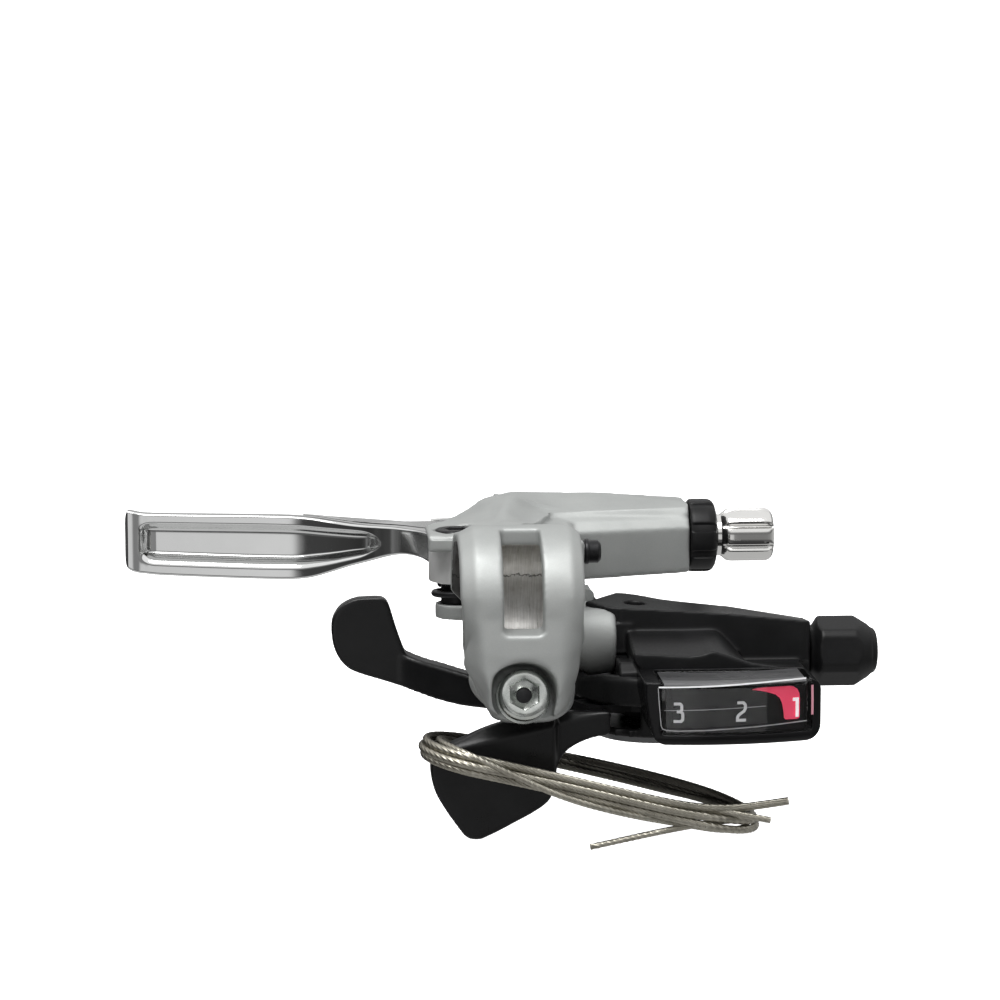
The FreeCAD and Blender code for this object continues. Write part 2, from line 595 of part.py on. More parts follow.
b = new_body("shifter_fixing_bolt")
fr = S("fixing_radius")
revolved(b, [(0.0, 5.0), (fr - 0.4, 5.0), (fr, 5.5), (fr, 20.2), (2.9, 20.2), (2.9, 21.3), (2.6, 21.6), (0.0, 21.6)])
pocketed(b, [("poly", ngon(6, S("hex_key") * 0.35, 0))], 1.0, 21.6)
keep(b, "shifter_fixing_bolt", along_x(0, N("boss_y"), N("boss_z")))

# ---------------------------------------------------------------- mechanism
b = new_body("base_plate")
padded(b, [("circle", 0.0, 0.0, 11.3), ("circle", 0.0, 0.0, 4.9), ("circle", S("pawl_ring") * math.cos(math.radians(40)), S("pawl_ring") * math.sin(math.radians(40)), S("pawl_pin"))], 1.2)
keep(b, "base_plate", at(AX, AY, -18.4))

b = new_body("main_axle")
ar = S("axle_radius")
revolved(b, [(0.0, -26.2), (ar - 0.4, -26.2), (ar, -25.8), (ar, -12.2), (4.3, -12.2), (4.3, -10.3), (4.0, -9.9), (0.0, -9.9)])
keep(b, "main_axle", at(AX, AY, 0))

b = new_body("axle_nut")
padded(b, [("poly", ngon(6, 4.0, 0)), ("circle", 0.0, 0.0, S("axle_radius"))], 1.0)
keep(b, "axle_nut", at(AX, AY, -26.2))

b = new_body("winder_drum")
revolved(b, [(S("plate_hole"), -20.0), (4.6, -20.0), (4.6, -16.2), (S("drum_flange"), -16.2), (S("drum_flange"), -15.2), (S("drum_groove"), -14.3), (S("drum_groove"), -13.7),
             (S("drum_flange"), -12.9), (S("drum_flange"), -12.6), (S("plate_hole"), -12.6)])
keep(b, "winder_drum", at(AX, AY, 0))


def ratchet_outline(teeth, root, tip, r):
    out = []
    for i in range(teeth):
        a0 = 2 * math.pi * i / teeth
        a1 = a0 + 2 * math.pi / teeth * 0.82
        out.append((size(tip) * math.cos(a0), size(tip) * math.sin(a0)))
        out.append((size(root) * math.cos(a1), size(root) * math.sin(a1)))
    return out


b = new_body("ratchet_wheel")
padded(b, [("poly", [(x if abs(val(x)) > 1e-6 else 0.0, y if abs(val(y)) > 1e-6 else 0.0) for x, y in ratchet_outline(14, S("ratchet_root"), S("ratchet_tip"), 0)]),
           ("circle", 0.0, 0.0, 4.6)], S("pawl_thickness"))
keep(b, "ratchet_wheel", at(AX, AY, -20.0))


def flat_spring(r0, turns, pitch, w, hgt):
    """A spiral strip: outline of an involute-like spiral, as one solid."""
    outer, inner = [], []
    n = int(turns * 24)
    for i in range(n + 1):
        a = 2 * math.pi * i / 24.0
        r = r0 + pitch * i / 24.0
        inner.append((r * math.cos(a), r * math.sin(a)))
        outer.append(((r + w) * math.cos(a), (r + w) * math.sin(a)))
    return flat_xy(inner + outer[::-1], 0, hgt)


feature("winder_spring", flat_spring(5.0, 2.5, 0.55, 0.3, 0.7), at(AX, AY, -17.05))

b = new_body("thumb_lever_plate")
padded(b, [("poly", [(7.2, -2.0), (5.5, 5.2), (0.0, 7.4), (-5.8, 5.4), (-8.6, 0.4), (-15.5, -4.6), (-13.2, -10.2), (-5.0, -9.0), (3.4, -10.6), (6.6, -8.8)]),
           ("circle", 0.0, 0.0, S("plate_hole")), ("circle", S("pawl_ring") * math.cos(math.radians(-60)), S("pawl_ring") * math.sin(math.radians(-60)), S("pawl_pin"))], 1.5)
keep(b, "thumb_lever_plate", at(AX, AY, -21.8))

b = new_body("drive_pawl_pin")
padded(b, [("circle", 0.0, 0.0, S("pawl_pin"))], 3.0)
keep(b, "drive_pawl_pin", at(AX + N("pawl_ring") * math.cos(math.radians(-60)), AY + N("pawl_ring") * math.sin(math.radians(-60)), -21.8))

b = new_body("stop_pawl_pin")
padded(b, [("circle", 0.0, 0.0, S("pawl_pin"))], 2.6)
keep(b, "stop_pawl_pin", at(AX + N("pawl_ring") * math.cos(math.radians(40)), AY + N("pawl_ring") * math.sin(math.radians(40)), -19.8))

b = new_body("release_lever_plate")
padded(b, [("poly", [(5.6, -3.6), (6.4, 2.2), (2.6, 6.4), (-3.2, 6.4), (-12.2, 8.6), (-14.6, 3.6), (-6.2, -2.0), (-2.4, -6.2), (2.4, -6.2)]),
           ("circle", 0.0, 0.0, S("plate_hole"))], 1.4)
keep(b, "release_lever_plate", at(AX, AY, -23.5))

sr = 4.3
turn = Part.makeTorus(sr, 0.3, V(0, 0, 0), V(0, 0, 1), 0, 360, 335)
leg = Part.makeCylinder(0.3, 3.2, V(sr, 0, 0), V(1, -0.25, 0))
feature("thumb_lever_spring", one(turn.fuse(leg)), at(AX, AY, -24.2))

# pawls: a heel round the pin and a nose that stops just short of the teeth


def pawl(degrees):
    """A pawl in the wheel's own frame, its pin at that angle and its nose further round."""
    r = N("pawl_ring")
    pts = []
    for a, rr, w in ((degrees, r, 1.2), (degrees + 22.0, 9.25, 0.65)):
        pts.append((rr * math.cos(math.radians(a)), rr * math.sin(math.radians(a)), w))
    (x0, y0, w0), (x1, y1, w1) = pts
    d = math.hypot(x1 - x0, y1 - y0)
    nx, ny = -(y1 - y0) / d, (x1 - x0) / d
    bar = flat_xy([(x0 + nx * w0, y0 + ny * w0), (x1 + nx * w1, y1 + ny * w1), (x1 - nx * w1, y1 - ny * w1), (x0 - nx * w0, y0 - ny * w0)], 0, N("pawl_thickness"))
    out = joined(bar, cyl(w0, 0, N("pawl_thickness"), x0, y0), cyl(w1, 0, N("pawl_thickness"), x1, y1))
    return one(out.cut(cyl(N("pawl_pin") + 0.05, -1, 3, x0, y0)))


feature("drive_pawl", pawl(-60.0), at(AX, AY, -20.1))
feature("stop_pawl", pawl(40.0), at(AX, AY, -19.9))

# ---------------------------------------------------------------- plastic lever ends
thumb_face = [(-9.1, -25.4), (-3.2, -24.4), (7.0, -24.3), (12.6, -24.0), (12.8, -26.2), (8.9, -28.6), (7.8, -32.5), (6.2, -37.8), (0.0, -41.6), (-6.0, -44.3), (-9.7, -43.5), (-12.4, -39.8), (-14.8, -36.4), (-15.8, -32.6), (-15.6, -30.0), (-13.0, -27.9)]
thumb = flat_xz(thumb_face, 0.6, 4.4)
thumb = one(thumb)
thumb = softened(thumb, 0.8, lambda x: abs(mid(x).y - 0.6) < 0.05)
reach = flat_xy([(2.0, 1.6), (11.6, 1.6), (AX - 9.2, AY - 9.6), (AX - 11.0, AY - 4.6), (8.6, 7.6), (2.0, 4.2)], -24.35, -20.8)
reach = one(reach)
thumb = one(joined(thumb, reach))
slotp = flat_xy([(AX + 7.2, AY - 2.0), (AX - 5.8, AY + 5.4), (AX - 8.6, AY + 0.4), (AX - 15.5, AY - 4.6), (AX - 13.2, AY - 10.2), (AX - 3.0, AY - 9.8)], -21.8, -20.3)
thumb = one(thumb.cut(slotp))
feature("thumb_lever", thumb)

trig_face = [(-33.4, -13.3), (-32.8, -9.6), (-30.8, -6.2), (-28.0, -4.9), (-23.2, -4.6), (-21.2, -6.6), (-20.0, -11.0), (-18.8, -15.4), (-19.8, -18.0), (-25.5, -19.4), (-30.6, -19.0), (-32.9, -16.6)]
trig = one(flat_xz(trig_face, 36.6, 40.0))
trig = softened(trig, 1.0, lambda x: abs(mid(x).y - 36.6) < 0.05 or abs(mid(x).y - 40.0) < 0.05)
link = ruled(
    [(-22.0, 36.8, -19.6), (-22.0, 36.8, -15.0), (-21.0, 39.8, -15.0), (-21.0, 39.8, -19.6)],
    [(-9.0, 29.6, -23.0), (-9.0, 29.6, -17.9), (-7.6, 32.8, -17.9), (-7.6, 32.8, -23.0)],
    [(2.0, 23.2, -24.4), (2.0, 23.2, -20.6), (3.6, 27.0, -20.6), (3.6, 27.0, -24.4)],
    [(AX - 12.6, AY + 3.4, -24.3), (AX - 12.6, AY + 3.4, -20.9), (AX - 10.4, AY + 8.6, -20.9), (AX - 10.4, AY + 8.6, -24.3)],
)
trig = one(joined(trig, link))
relp = flat_xy([(AX - 3.2, AY + 6.4), (AX - 12.2, AY + 8.6), (AX - 14.6, AY + 3.6), (AX - 6.2, AY - 2.0)], -23.5, -22.1)
trig = one(trig.cut(relp))
feature("release_lever", trig)

screw = cyl(2.0, -20.9, -19.6).fuse(cyl(1.05, -19.7, -13.3)).removeSplitter()
screw = screw.cut(box(-1.4, 1.4, -0.25, 0.25, -21.0, -20.4))
a1, a2 = screw.copy(), screw.copy()
a1.translate(V(36.5, 25.2, 0))
a2.translate(V(37.2, 7.6, 0))
feature("cover_screws", Part.Compound([one(a1), one(a2)]))

# ---------------------------------------------------------------- shift cable adjuster
b = new_body("shift_barrel_adjuster")
s0, s1 = S("shift_start"), S("shift_end")
sf = S("shift_flats")
revolved(b, [(0.9, 48.0), (S("shift_stem") - 0.3, 48.0), (S("shift_stem"), 48.4), (S("shift_stem"), s0), (4.6, s0), (4.9, s0 + 0.8), (5.4, s0 + 1.2), (sf + 0.55, s0 + 2.0), (sf + 0.55, s1 - 4.2), (4.9, s1 - 1.4),
             (4.5, s1 - 1.2), (4.2, s1 - 0.4), (3.6, s1), (S("shift_socket"), s1), (S("shift_socket"), s1 - 9.0), (0.9, s1 - 10.0)])
p = pocketed(b, [("poly", [(sf * math.cos(0.0), -4.2), (sf + 2.0, -4.2), (sf + 2.0, 4.2), (sf * math.cos(0.0), 4.2)])], s1 - s0 - 2.4, s1 - 1.3)
round_about(b, p, 6)
keep(b, "shift_barrel_adjuster", along_x(0, SY, SZ, 20))

# ---------------------------------------------------------------- gear indicator
CX, CY = N("arc_x"), N("arc_y")


def band(r0, r1, x0, x1, z0, z1):
    shape = cyl(r1, z0, z1, CX, CY).cut(cyl(r0, z0 - 1, z1 + 1, CX, CY))
    return shape.common(box(x0, x1, -20, 10, z0 - 1, z1 + 1))


Z0, Z1 = -24.4, -12.9
full = cyl(53.9, Z0, Z1, CX, CY).common(box(22.0, 54.4, -20, 2.8, -30, 0))
full = one(full.cut(flat_xz([(21.0, -26.0), (23.9, -26.0), (22.0, -15.8), (22.0, -10.0), (21.0, -10.0)], -20.0, 10.0)))
frame = full.cut(box(25.0, 52.6, -20, 1.4, -22.3, 0))
pocket = band(51.25, 52.7, 22.9, 26.2, -16.3, -14.0)
frame = frame.cut(pocket)
frame = one(frame)
frame = softened(frame, 1.3, lambda x: abs(mid(x).z - Z0) < 0.05 and mid(x).y < 0)
feature("indicator_frame", one(frame))
lens = cyl(53.85, -22.3, -13.0, CX, CY).common(box(25.05, 52.55, -20, 1.35, -30, 0))
lens = lens.cut(cyl(52.7, -25, -14.0, CX, CY).common(box(25.9, 51.7, -20, 3.0, -30, 0)))
lens = one(lens.cut(pocket))
lens = softened(lens, 0.7, lambda x: abs(mid(x).z + 13.0) < 0.05 and mid(x).y < -6)
feature("indicator_lens", lens)
dial = band(N("dial_inner"), N("dial_outer"), 26.2, 51.4, -22.25, -14.3)
feature("dial_plate", one(dial))
ptr = joined(band(N("pointer_inner"), N("pointer_outer"), 46.6, 49.9, -21.6, -14.4), band(N("pointer_inner"), N("pointer_outer"), 41.8, 49.9, -15.7, -14.4))
feature("gear_pointer", one(ptr))

# ---------------------------------------------------------------- hung cable
# A flat loop of many turns, its left end high on the thumb lever and its right end low.
slope_deg = 12.6
LX, LZ = 14.0, -33.0
half, rad = 21.5, 9.0
cs = N("coil_section")
hank = None
for x0, x1, sgn in ((-half, half, -1), (-half, half, 1)):
    c = Part.makeCylinder(cs, x1 - x0, V(x0, sgn * rad, 0), V(1, 0, 0))
    hank = c if hank is None else hank.fuse(c)
for xc, a0 in ((half, -90), (-half, 90)):
    t = Part.makeTorus(rad, cs, V(xc, 0, 0), V(0, 0, 1))
    t = t.common(box(xc, xc + 20, -20, 20, -10, 10) if xc > 0 else box(xc - 20, xc, -20, 20, -10, 10))
    hank = hank.fuse(t)
hank = hank.removeSplitter()
HANK = at(LX, 3.0, LZ, V(0, 1, 0), slope_deg)
hank.Placement = HANK
hank = one(hank)
feature("cable_coil", hank)


def tube(points, r):
    out = None
    for p, q in zip(points, points[1:]):
        p, q = V(*p), V(*q)
        c = Part.makeCylinder(r, (q - p).Length, p, q - p)
        out = c if out is None else out.fuse(c).fuse(Part.makeSphere(r, p))
    return out


g1 = one(tube([(37.0, -6.0, -38.2), (49.2, -5.0, -36.4)], N("brake_cable")).cut(hank))
tail = one(tube([(33.0, -5.8, -38.6), (12.8, -5.4, -44.4)], N("gear_cable")).cut(hank))
feature("brake_cable_end", g1)
feature("gear_cable_tail", tail)

# ---------------------------------------------------------------- check and write
doc.recompute()
os.makedirs("parts", exist_ok=True)
bad = [o.Name for o in doc.Objects if "Invalid" in o.State or "Error" in o.State]
if bad:
    raise RuntimeError("not computed: %s" % bad)
for o in nodes:
    if o.Shape.isNull() or not o.Shape.isValid() or not o.Shape.Solids:
        raise RuntimeError("bad shape: %s" % o.Label)
for o in nodes:
    o.Shape.exportStep(os.path.join("parts", o.Label + ".step"))
    bb = o.Shape.BoundBox
    print("%-24s solids %d vol %9.1f  x %.1f..%.1f y %.1f..%.1f z %.1f..%.1f" % (o.Label, len(o.Shape.Solids), o.Shape.Volume, bb.XMin, bb.XMax, bb.YMin, bb.YMax, bb.ZMin, bb.ZMax))
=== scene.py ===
import bpy, bmesh, math
from mathutils import Vector, Matrix


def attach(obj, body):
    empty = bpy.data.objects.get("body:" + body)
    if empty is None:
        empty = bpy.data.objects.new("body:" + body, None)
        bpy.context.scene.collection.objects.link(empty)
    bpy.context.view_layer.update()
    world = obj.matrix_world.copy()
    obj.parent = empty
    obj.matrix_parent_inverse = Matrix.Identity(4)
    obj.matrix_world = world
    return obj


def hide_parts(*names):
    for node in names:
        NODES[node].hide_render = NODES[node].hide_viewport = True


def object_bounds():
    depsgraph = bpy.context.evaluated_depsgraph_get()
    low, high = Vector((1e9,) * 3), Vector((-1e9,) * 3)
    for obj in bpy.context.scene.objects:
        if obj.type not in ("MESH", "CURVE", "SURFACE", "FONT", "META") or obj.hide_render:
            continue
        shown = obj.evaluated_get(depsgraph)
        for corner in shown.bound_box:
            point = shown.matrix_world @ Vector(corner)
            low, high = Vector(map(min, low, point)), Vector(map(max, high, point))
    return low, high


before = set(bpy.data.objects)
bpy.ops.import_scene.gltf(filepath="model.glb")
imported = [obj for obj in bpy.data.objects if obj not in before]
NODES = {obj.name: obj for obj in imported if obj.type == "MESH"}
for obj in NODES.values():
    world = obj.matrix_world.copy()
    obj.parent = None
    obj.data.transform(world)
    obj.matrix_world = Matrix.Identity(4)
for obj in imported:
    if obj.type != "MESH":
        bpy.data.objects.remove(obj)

MM = 0.001
SCENE = bpy.context.scene
cad_lo, cad_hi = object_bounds()


# ------------------------------------------------------------------ small tools
def V3(x, y, z):
    return Vector((x * MM, y * MM, z * MM))


def lerp(a, b, t):
    return a + (b - a) * t


def step(a, b, x):
    t = min(1.0, max(0.0, (x - a) / (b - a)))
    return t * t * (3.0 - 2.0 * t)


def rows_at(table, n):
    """A table of rows read as one smooth line, n rows from its first to its last."""
    out = []
    last = len(table) - 1
    for i in range(n):
        s = last * i / (n - 1.0)
        k = min(int(s), last - 1)
        u = s - k
        p0, p1, p2, p3 = table[max(k - 1, 0)], table[k], table[k + 1], table[min(k + 2, last)]
        out.append(tuple(0.5 * (2 * b + (c - a) * u + (2 * a - 5 * b + 4 * c - d) * u * u + (3 * b - a - 3 * c + d) * u ** 3) for a, b, c, d in zip(p0, p1, p2, p3)))
    return out


def round_line(points, per=6):
    """A closed outline drawn smoothly through its points."""
    n = len(points)
    out = []
    for k in range(n):
        p0, p1, p2, p3 = points[k - 1], points[k], points[(k + 1) % n], points[(k + 2) % n]
        for j in range(per):
            u = j / float(per)
            out.append(tuple(0.5 * (2 * b + (c - a) * u + (2 * a - 5 * b + 4 * c - d) * u * u + (3 * b - a - 3 * c + d) * u ** 3) for a, b, c, d in zip(p0, p1, p2, p3)))
    return out


def loft(rings, caps=True, ring_closed=False):
    n = len(rings[0])
    verts = [p for r in rings for p in r]
    faces = []
    m = len(rings)
    for i in range(m if ring_closed else m - 1):
        for j in range(n):
            a, b = i * n + j, i * n + (j + 1) % n
            c, d = ((i + 1) % m) * n + (j + 1) % n, ((i + 1) % m) * n + j
            faces.append((a, b, c, d))
    if caps and not ring_closed:
        faces.append(tuple(range(n - 1, -1, -1)))
        faces.append(tuple((m - 1) * n + j for j in range(n)))
    return verts, faces


def merge(*parts):
    verts, faces = [], []
    for v, f in parts:
        k = len(verts)
        verts += list(v)
        faces += [tuple(i + k for i in q) for q in f]
    return verts, faces


def mesh_of(name, verts, faces):
    me = bpy.data.meshes.new(name)
    me.from_pydata([(x * MM, y * MM, z * MM) for x, y, z in verts], [], faces)
    bm = bmesh.new()
    bm.from_mesh(me)
    bmesh.ops.recalc_face_normals(bm, faces=bm.faces[:])
    bm.to_mesh(me)
    bm.free()
    me.update()
    return me


def put(name, me):
    ob = bpy.data.objects.new(name, me)
    SCENE.collection.objects.link(ob)
    return ob


def settle(ob):
    """The object's modifiers become its mesh."""
    bpy.context.view_layer.update()
    deps = bpy.context.evaluated_depsgraph_get()
    me = bpy.data.meshes.new_from_object(ob.evaluated_get(deps))
    old = ob.data
    ob.modifiers.clear()
    ob.data = me
    if old.users == 0:
        bpy.data.meshes.remove(old)
    return ob


def shade(ob, degrees=None):
    for p in ob.data.polygons:
        p.use_smooth = True
    if degrees is not None:
        bm = bmesh.new()
        bm.from_mesh(ob.data)
        lim = math.radians(degrees)
        for e in bm.edges:
            e.smooth = not (len(e.link_faces) == 2 and e.calc_face_angle(0.0) > lim)
        bm.to_mesh(ob.data)
        bm.free()


def finish_piece(ob, body, slot, mat, *nodes):
    ob.data.materials.clear()
    ob.data.materials.append(mat)
    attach(ob, body)
    if nodes:
        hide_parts(*nodes)
    return ob


def copy_of(node):
    """A welded copy of a node's mesh."""
    me = NODES[node].data.copy()
    me.materials.clear()
    bm = bmesh.new()
    bm.from_mesh(me)
    bmesh.ops.remove_doubles(bm, verts=bm.verts[:], dist=2e-6)
    bm.to_mesh(me)
    bm.free()
    return me


def soften(ob, voxel, rounds, factor=0.5):
    """Blends everything in the object into one skin and rounds its edges, as a casting or moulding is rounded."""
    m = ob.modifiers.new("skin", "REMESH")
    m.mode = "VOXEL"
    m.voxel_size = voxel * MM
    m.adaptivity = 0.0
    m.use_smooth_shade = True
    if rounds:
        s = ob.modifiers.new("round", "SMOOTH")
        s.factor = factor
        s.iterations = rounds
    settle(ob)
    shade(ob)
    return ob


def bevelled(node, width, segments=2, degrees=32):
    """A copy of a node with its edges broken."""
    me = copy_of(node)
    bm = bmesh.new()
    bm.from_mesh(me)
    bmesh.ops.dissolve_limit(bm, angle_limit=math.radians(1.0), verts=bm.verts[:], edges=bm.edges[:])
    bm.to_mesh(me)
    bm.free()
    ob = put(node + "_edged", me)
    b = ob.modifiers.new("edge", "BEVEL")
    b.width = width * MM
    b.segments = segments
    b.limit_method = "ANGLE"
    b.angle_limit = math.radians(degrees)
    b.use_clamp_overlap = True
    settle(ob)
    shade(ob, 38)
    return ob


def join_into(ob, *others):
    """Adds other meshes to an object's mesh."""
    bm = bmesh.new()
    bm.from_mesh(ob.data)
    for o in others:
        bm.from_mesh(o.data)
    bm.to_mesh(ob.data)
    bm.free()
    for o in others:
        me = o.data
        bpy.data.objects.remove(o)
        bpy.data.meshes.remove(me)


def block(outline, z0, z1):
    """A flat piece with this outline in X and Y, between two heights."""
    return loft([[(x, y, z0) for x, y in outline], [(x, y, z1) for x, y in outline]])


def kept(node, co, no):
    """A copy of a node cut by a plane; what lies ahead of the plane is left out."""
    me = copy_of(node)
    bm = bmesh.new()
    bm.from_mesh(me)
    bmesh.ops.bisect_plane(bm, geom=bm.verts[:] + bm.edges[:] + bm.faces[:], plane_co=V3(*co), plane_no=no, clear_outer=True)
    bmesh.ops.holes_fill(bm, edges=[e for e in bm.edges if e.is_boundary], sides=0)
    bm.to_mesh(me)
    bm.free()
    return me


def kept_between(node, *planes):
    """A copy of a node cut by several planes, each given by a point and the side that is left out."""
    me = copy_of(node)
    bm = bmesh.new()
    bm.from_mesh(me)
    for co, no in planes:
        bmesh.ops.bisect_plane(bm, geom=bm.verts[:] + bm.edges[:] + bm.faces[:], plane_co=V3(*co), plane_no=no, clear_outer=True)
        bmesh.ops.holes_fill(bm, edges=[e for e in bm.edges if e.is_boundary], sides=0)
    bm.to_mesh(me)
    bm.free()
    return me


def between(table, x):
    """A value read off a table of (x, value) rows, straight from row to row."""
    if x <= table[0][0]:
        return table[0][1]
    for (a, va), (b, vb) in zip(table, table[1:]):
        if x <= b:
            return lerp(va, vb, (x - a) / (b - a))
    return table[-1][1]


def moved(ob, rule):
    """Moves each point of the mesh by a rule written in millimetres."""
    for v in ob.data.vertices:
        x, y, z = rule(v.co.x / MM, v.co.y / MM, v.co.z / MM)
        v.co = (x * MM, y * MM, z * MM)
    ob.data.update()


# ------------------------------------------------------------------ materials
def nodes_of(name):
    m = bpy.data.materials.new(name)
    m.use_nodes = True
    nt = m.node_tree
    bsdf = nt.nodes["Principled BSDF"]
    return m, nt, bsdf


def place(nt, stretch=None):
    """Position on the part, in metres, stretched if wanted."""
    tc = nt.nodes.new("ShaderNodeTexCoord")
    if stretch is None:
        return tc.outputs["Object"]
    mp = nt.nodes.new("ShaderNodeMapping")
    mp.inputs["Scale"].default_value = stretch
    nt.links.new(tc.outputs["Object"], mp.inputs["Vector"])
    return mp.outputs["Vector"]


def grain(nt, scale, detail=3.0, rough=0.55, at=None):
    n = nt.nodes.new("ShaderNodeTexNoise")
    n.inputs["Scale"].default_value = scale
    n.inputs["Detail"].default_value = detail
    n.inputs["Roughness"].default_value = rough
    nt.links.new(at if at is not None else place(nt), n.inputs["Vector"])
    return n.outputs["Fac"]


def spread(nt, value, lo, hi, a=0.3, b=0.7):
    m = nt.nodes.new("ShaderNodeMapRange")
    m.inputs["From Min"].default_value = a
    m.inputs["From Max"].default_value = b
    m.inputs["To Min"].default_value = lo
    m.inputs["To Max"].default_value = hi
    nt.links.new(value, m.inputs["Value"])
    return m.outputs["Result"]


def blend_colour(nt, fac, c1, c2):
    m = nt.nodes.new("ShaderNodeMix")
    m.data_type = "RGBA"
    nt.links.new(fac, m.inputs["Factor"])
    for s, c in ((6, c1), (7, c2)):
        if hasattr(c, "is_output"):
            nt.links.new(c, m.inputs[s])
        else:
            m.inputs[s].default_value = (c[0], c[1], c[2], 1.0)
    return m.outputs[2]


def blend_value(nt, fac, a, b):
    m = nt.nodes.new("ShaderNodeMix")
    m.data_type = "FLOAT"
    nt.links.new(fac, m.inputs["Factor"])
    for s, c in ((2, a), (3, b)):
        if hasattr(c, "is_output"):
            nt.links.new(c, m.inputs[s])
        else:
            m.inputs[s].default_value = c
    return m.outputs[0]


def calc(nt, op, a, b=None):
    m = nt.nodes.new("ShaderNodeMath")
    m.operation = op
    for i, v in enumerate((a, b)):
        if v is None:
            continue
        if hasattr(v, "is_output"):
            nt.links.new(v, m.inputs[i])
        else:
            m.inputs[i].default_value = v
    return m.outputs[0]


def bump(nt, bsdf, height, distance, strength=1.0):
    b = nt.nodes.new("ShaderNodeBump")
    b.inputs["Strength"].default_value = strength
    b.inputs["Distance"].default_value = distance
    nt.links.new(height, b.inputs["Height"])
    nt.links.new(b.outputs["Normal"], bsdf.inputs["Normal"])


def surface(name, dark, light, metal, rough, swing, cloud=160.0, fine=2600.0, deep=0.000012, spec=0.5, strong=0.5, stretch=None, coat=0.0, coat_rough=0.1):
    """A plain finish: cloudy colour between two tones, roughness that wanders, and a fine grain in relief."""
    m, nt, b = nodes_of(name)
    at = place(nt, stretch)
    nt.links.new(blend_colour(nt, spread(nt, grain(nt, cloud, 4.0, 0.6, at), 0.0, 1.0), dark, light), b.inputs["Base Color"])
    nt.links.new(spread(nt, grain(nt, cloud * 2.3, 5.0, 0.6, at), rough - swing, rough + swing), b.inputs["Roughness"])
    bump(nt, b, grain(nt, fine, 2.0, 0.5, at), deep, strong)
    b.inputs["Metallic"].default_value = metal
    b.inputs["Specular IOR Level"].default_value = spec
    if coat:
        b.inputs["Coat Weight"].default_value = coat
        b.inputs["Coat Roughness"].default_value = coat_rough
    return m


def cast_paint(name):
    """Silver paint over a casting; inside the clamp's bore the metal is bare and reamed."""
    m, nt, b = nodes_of(name)
    pos = place(nt)
    sep = nt.nodes.new("ShaderNodeSeparateXYZ")
    nt.links.new(pos, sep.inputs[0])
    y, z = sep.outputs[1], sep.outputs[2]
    away = calc(nt, "SQRT", calc(nt, "ADD", calc(nt, "MULTIPLY", y, y), calc(nt, "MULTIPLY", z, z)))
    bore = calc(nt, "LESS_THAN", away, 0.0113)
    flake = grain(nt, 5200.0, 2.0, 0.6)
    cloud = grain(nt, 90.0, 4.0, 0.6)
    paint = blend_colour(nt, spread(nt, cloud, 0.0, 1.0), (0.375, 0.388, 0.380), (0.430, 0.443, 0.432))
    paint = blend_colour(nt, spread(nt, flake, 0.0, 0.20, 0.45, 0.75), paint, (0.56, 0.57, 0.56))
    ream = grain(nt, 1.0, 4.0, 0.65, place(nt, (3600.0, 190.0, 190.0)))
    smear = grain(nt, 220.0, 4.0, 0.65)
    bare = blend_colour(nt, spread(nt, ream, 0.0, 1.0, 0.32, 0.68), (0.50, 0.495, 0.475), (0.72, 0.71, 0.69))
    bare = blend_colour(nt, spread(nt, smear, 0.0, 0.5, 0.45, 0.7), bare, (0.34, 0.325, 0.30))
    # the bore's colour goes nearly black towards its outer end
    bare = blend_colour(nt, spread(nt, sep.outputs[0], 0.9, 0.0, -0.0086, -0.0080), bare, (0.045, 0.045, 0.045))
    # a ragged score across the bore, where two tool passes meet
    score = calc(nt, "ABSOLUTE", calc(nt, "ADD", calc(nt, "ADD", z, -0.0034), spread(nt, grain(nt, 900.0, 4.0, 0.7), -0.0004, 0.0004)))
    bare = blend_colour(nt, spread(nt, score, 0.75, 0.0, 0.00006, 0.00022), bare, (0.03, 0.03, 0.028))
    nt.links.new(blend_colour(nt, bore, paint, bare), b.inputs["Base Color"])
    pr = spread(nt, grain(nt, 260.0, 4.0, 0.6), 0.47, 0.57)
    br = spread(nt, ream, 0.26, 0.48)
    nt.links.new(blend_value(nt, bore, pr, br), b.inputs["Roughness"])
    nt.links.new(blend_value(nt, bore, 0.52, 1.0), b.inputs["Metallic"])
    orange = grain(nt, 1500.0, 3.0, 0.55)
    h = blend_value(nt, bore, orange, ream)
    bump(nt, b, h, 0.000022, 0.45)
    return m


def polished(name, base, rough, lines, dull=None):
    """Polished aluminium: nearly a mirror, with the faint haze and drawn lines of the buffing wheel."""
    m, nt, b = nodes_of(name)
    haze = grain(nt, 140.0, 5.0, 0.6)
    lay = grain(nt, 1.0, 3.0, 0.6, place(nt, lines))
    nt.links.new(blend_colour(nt, spread(nt, haze, 0.0, 1.0), tuple(c * 0.95 for c in base), base), b.inputs["Base Color"])
    gloss = calc(nt, "ADD", spread(nt, haze, rough * 0.85, rough * 1.25), spread(nt, lay, -0.006, 0.012))
    if dull:
        # the neck is only brushed, not buffed
        sep = nt.nodes.new("ShaderNodeSeparateXYZ")
        nt.links.new(place(nt), sep.inputs[0])
        gloss = calc(nt, "ADD", gloss, spread(nt, sep.outputs[0], 0.0, dull[2], dull[0], dull[1]))
    nt.links.new(gloss, b.inputs["Roughness"])
    bump(nt, b, lay, 0.0000015, 0.07)
    b.inputs["Metallic"].default_value = 1.0
    return m


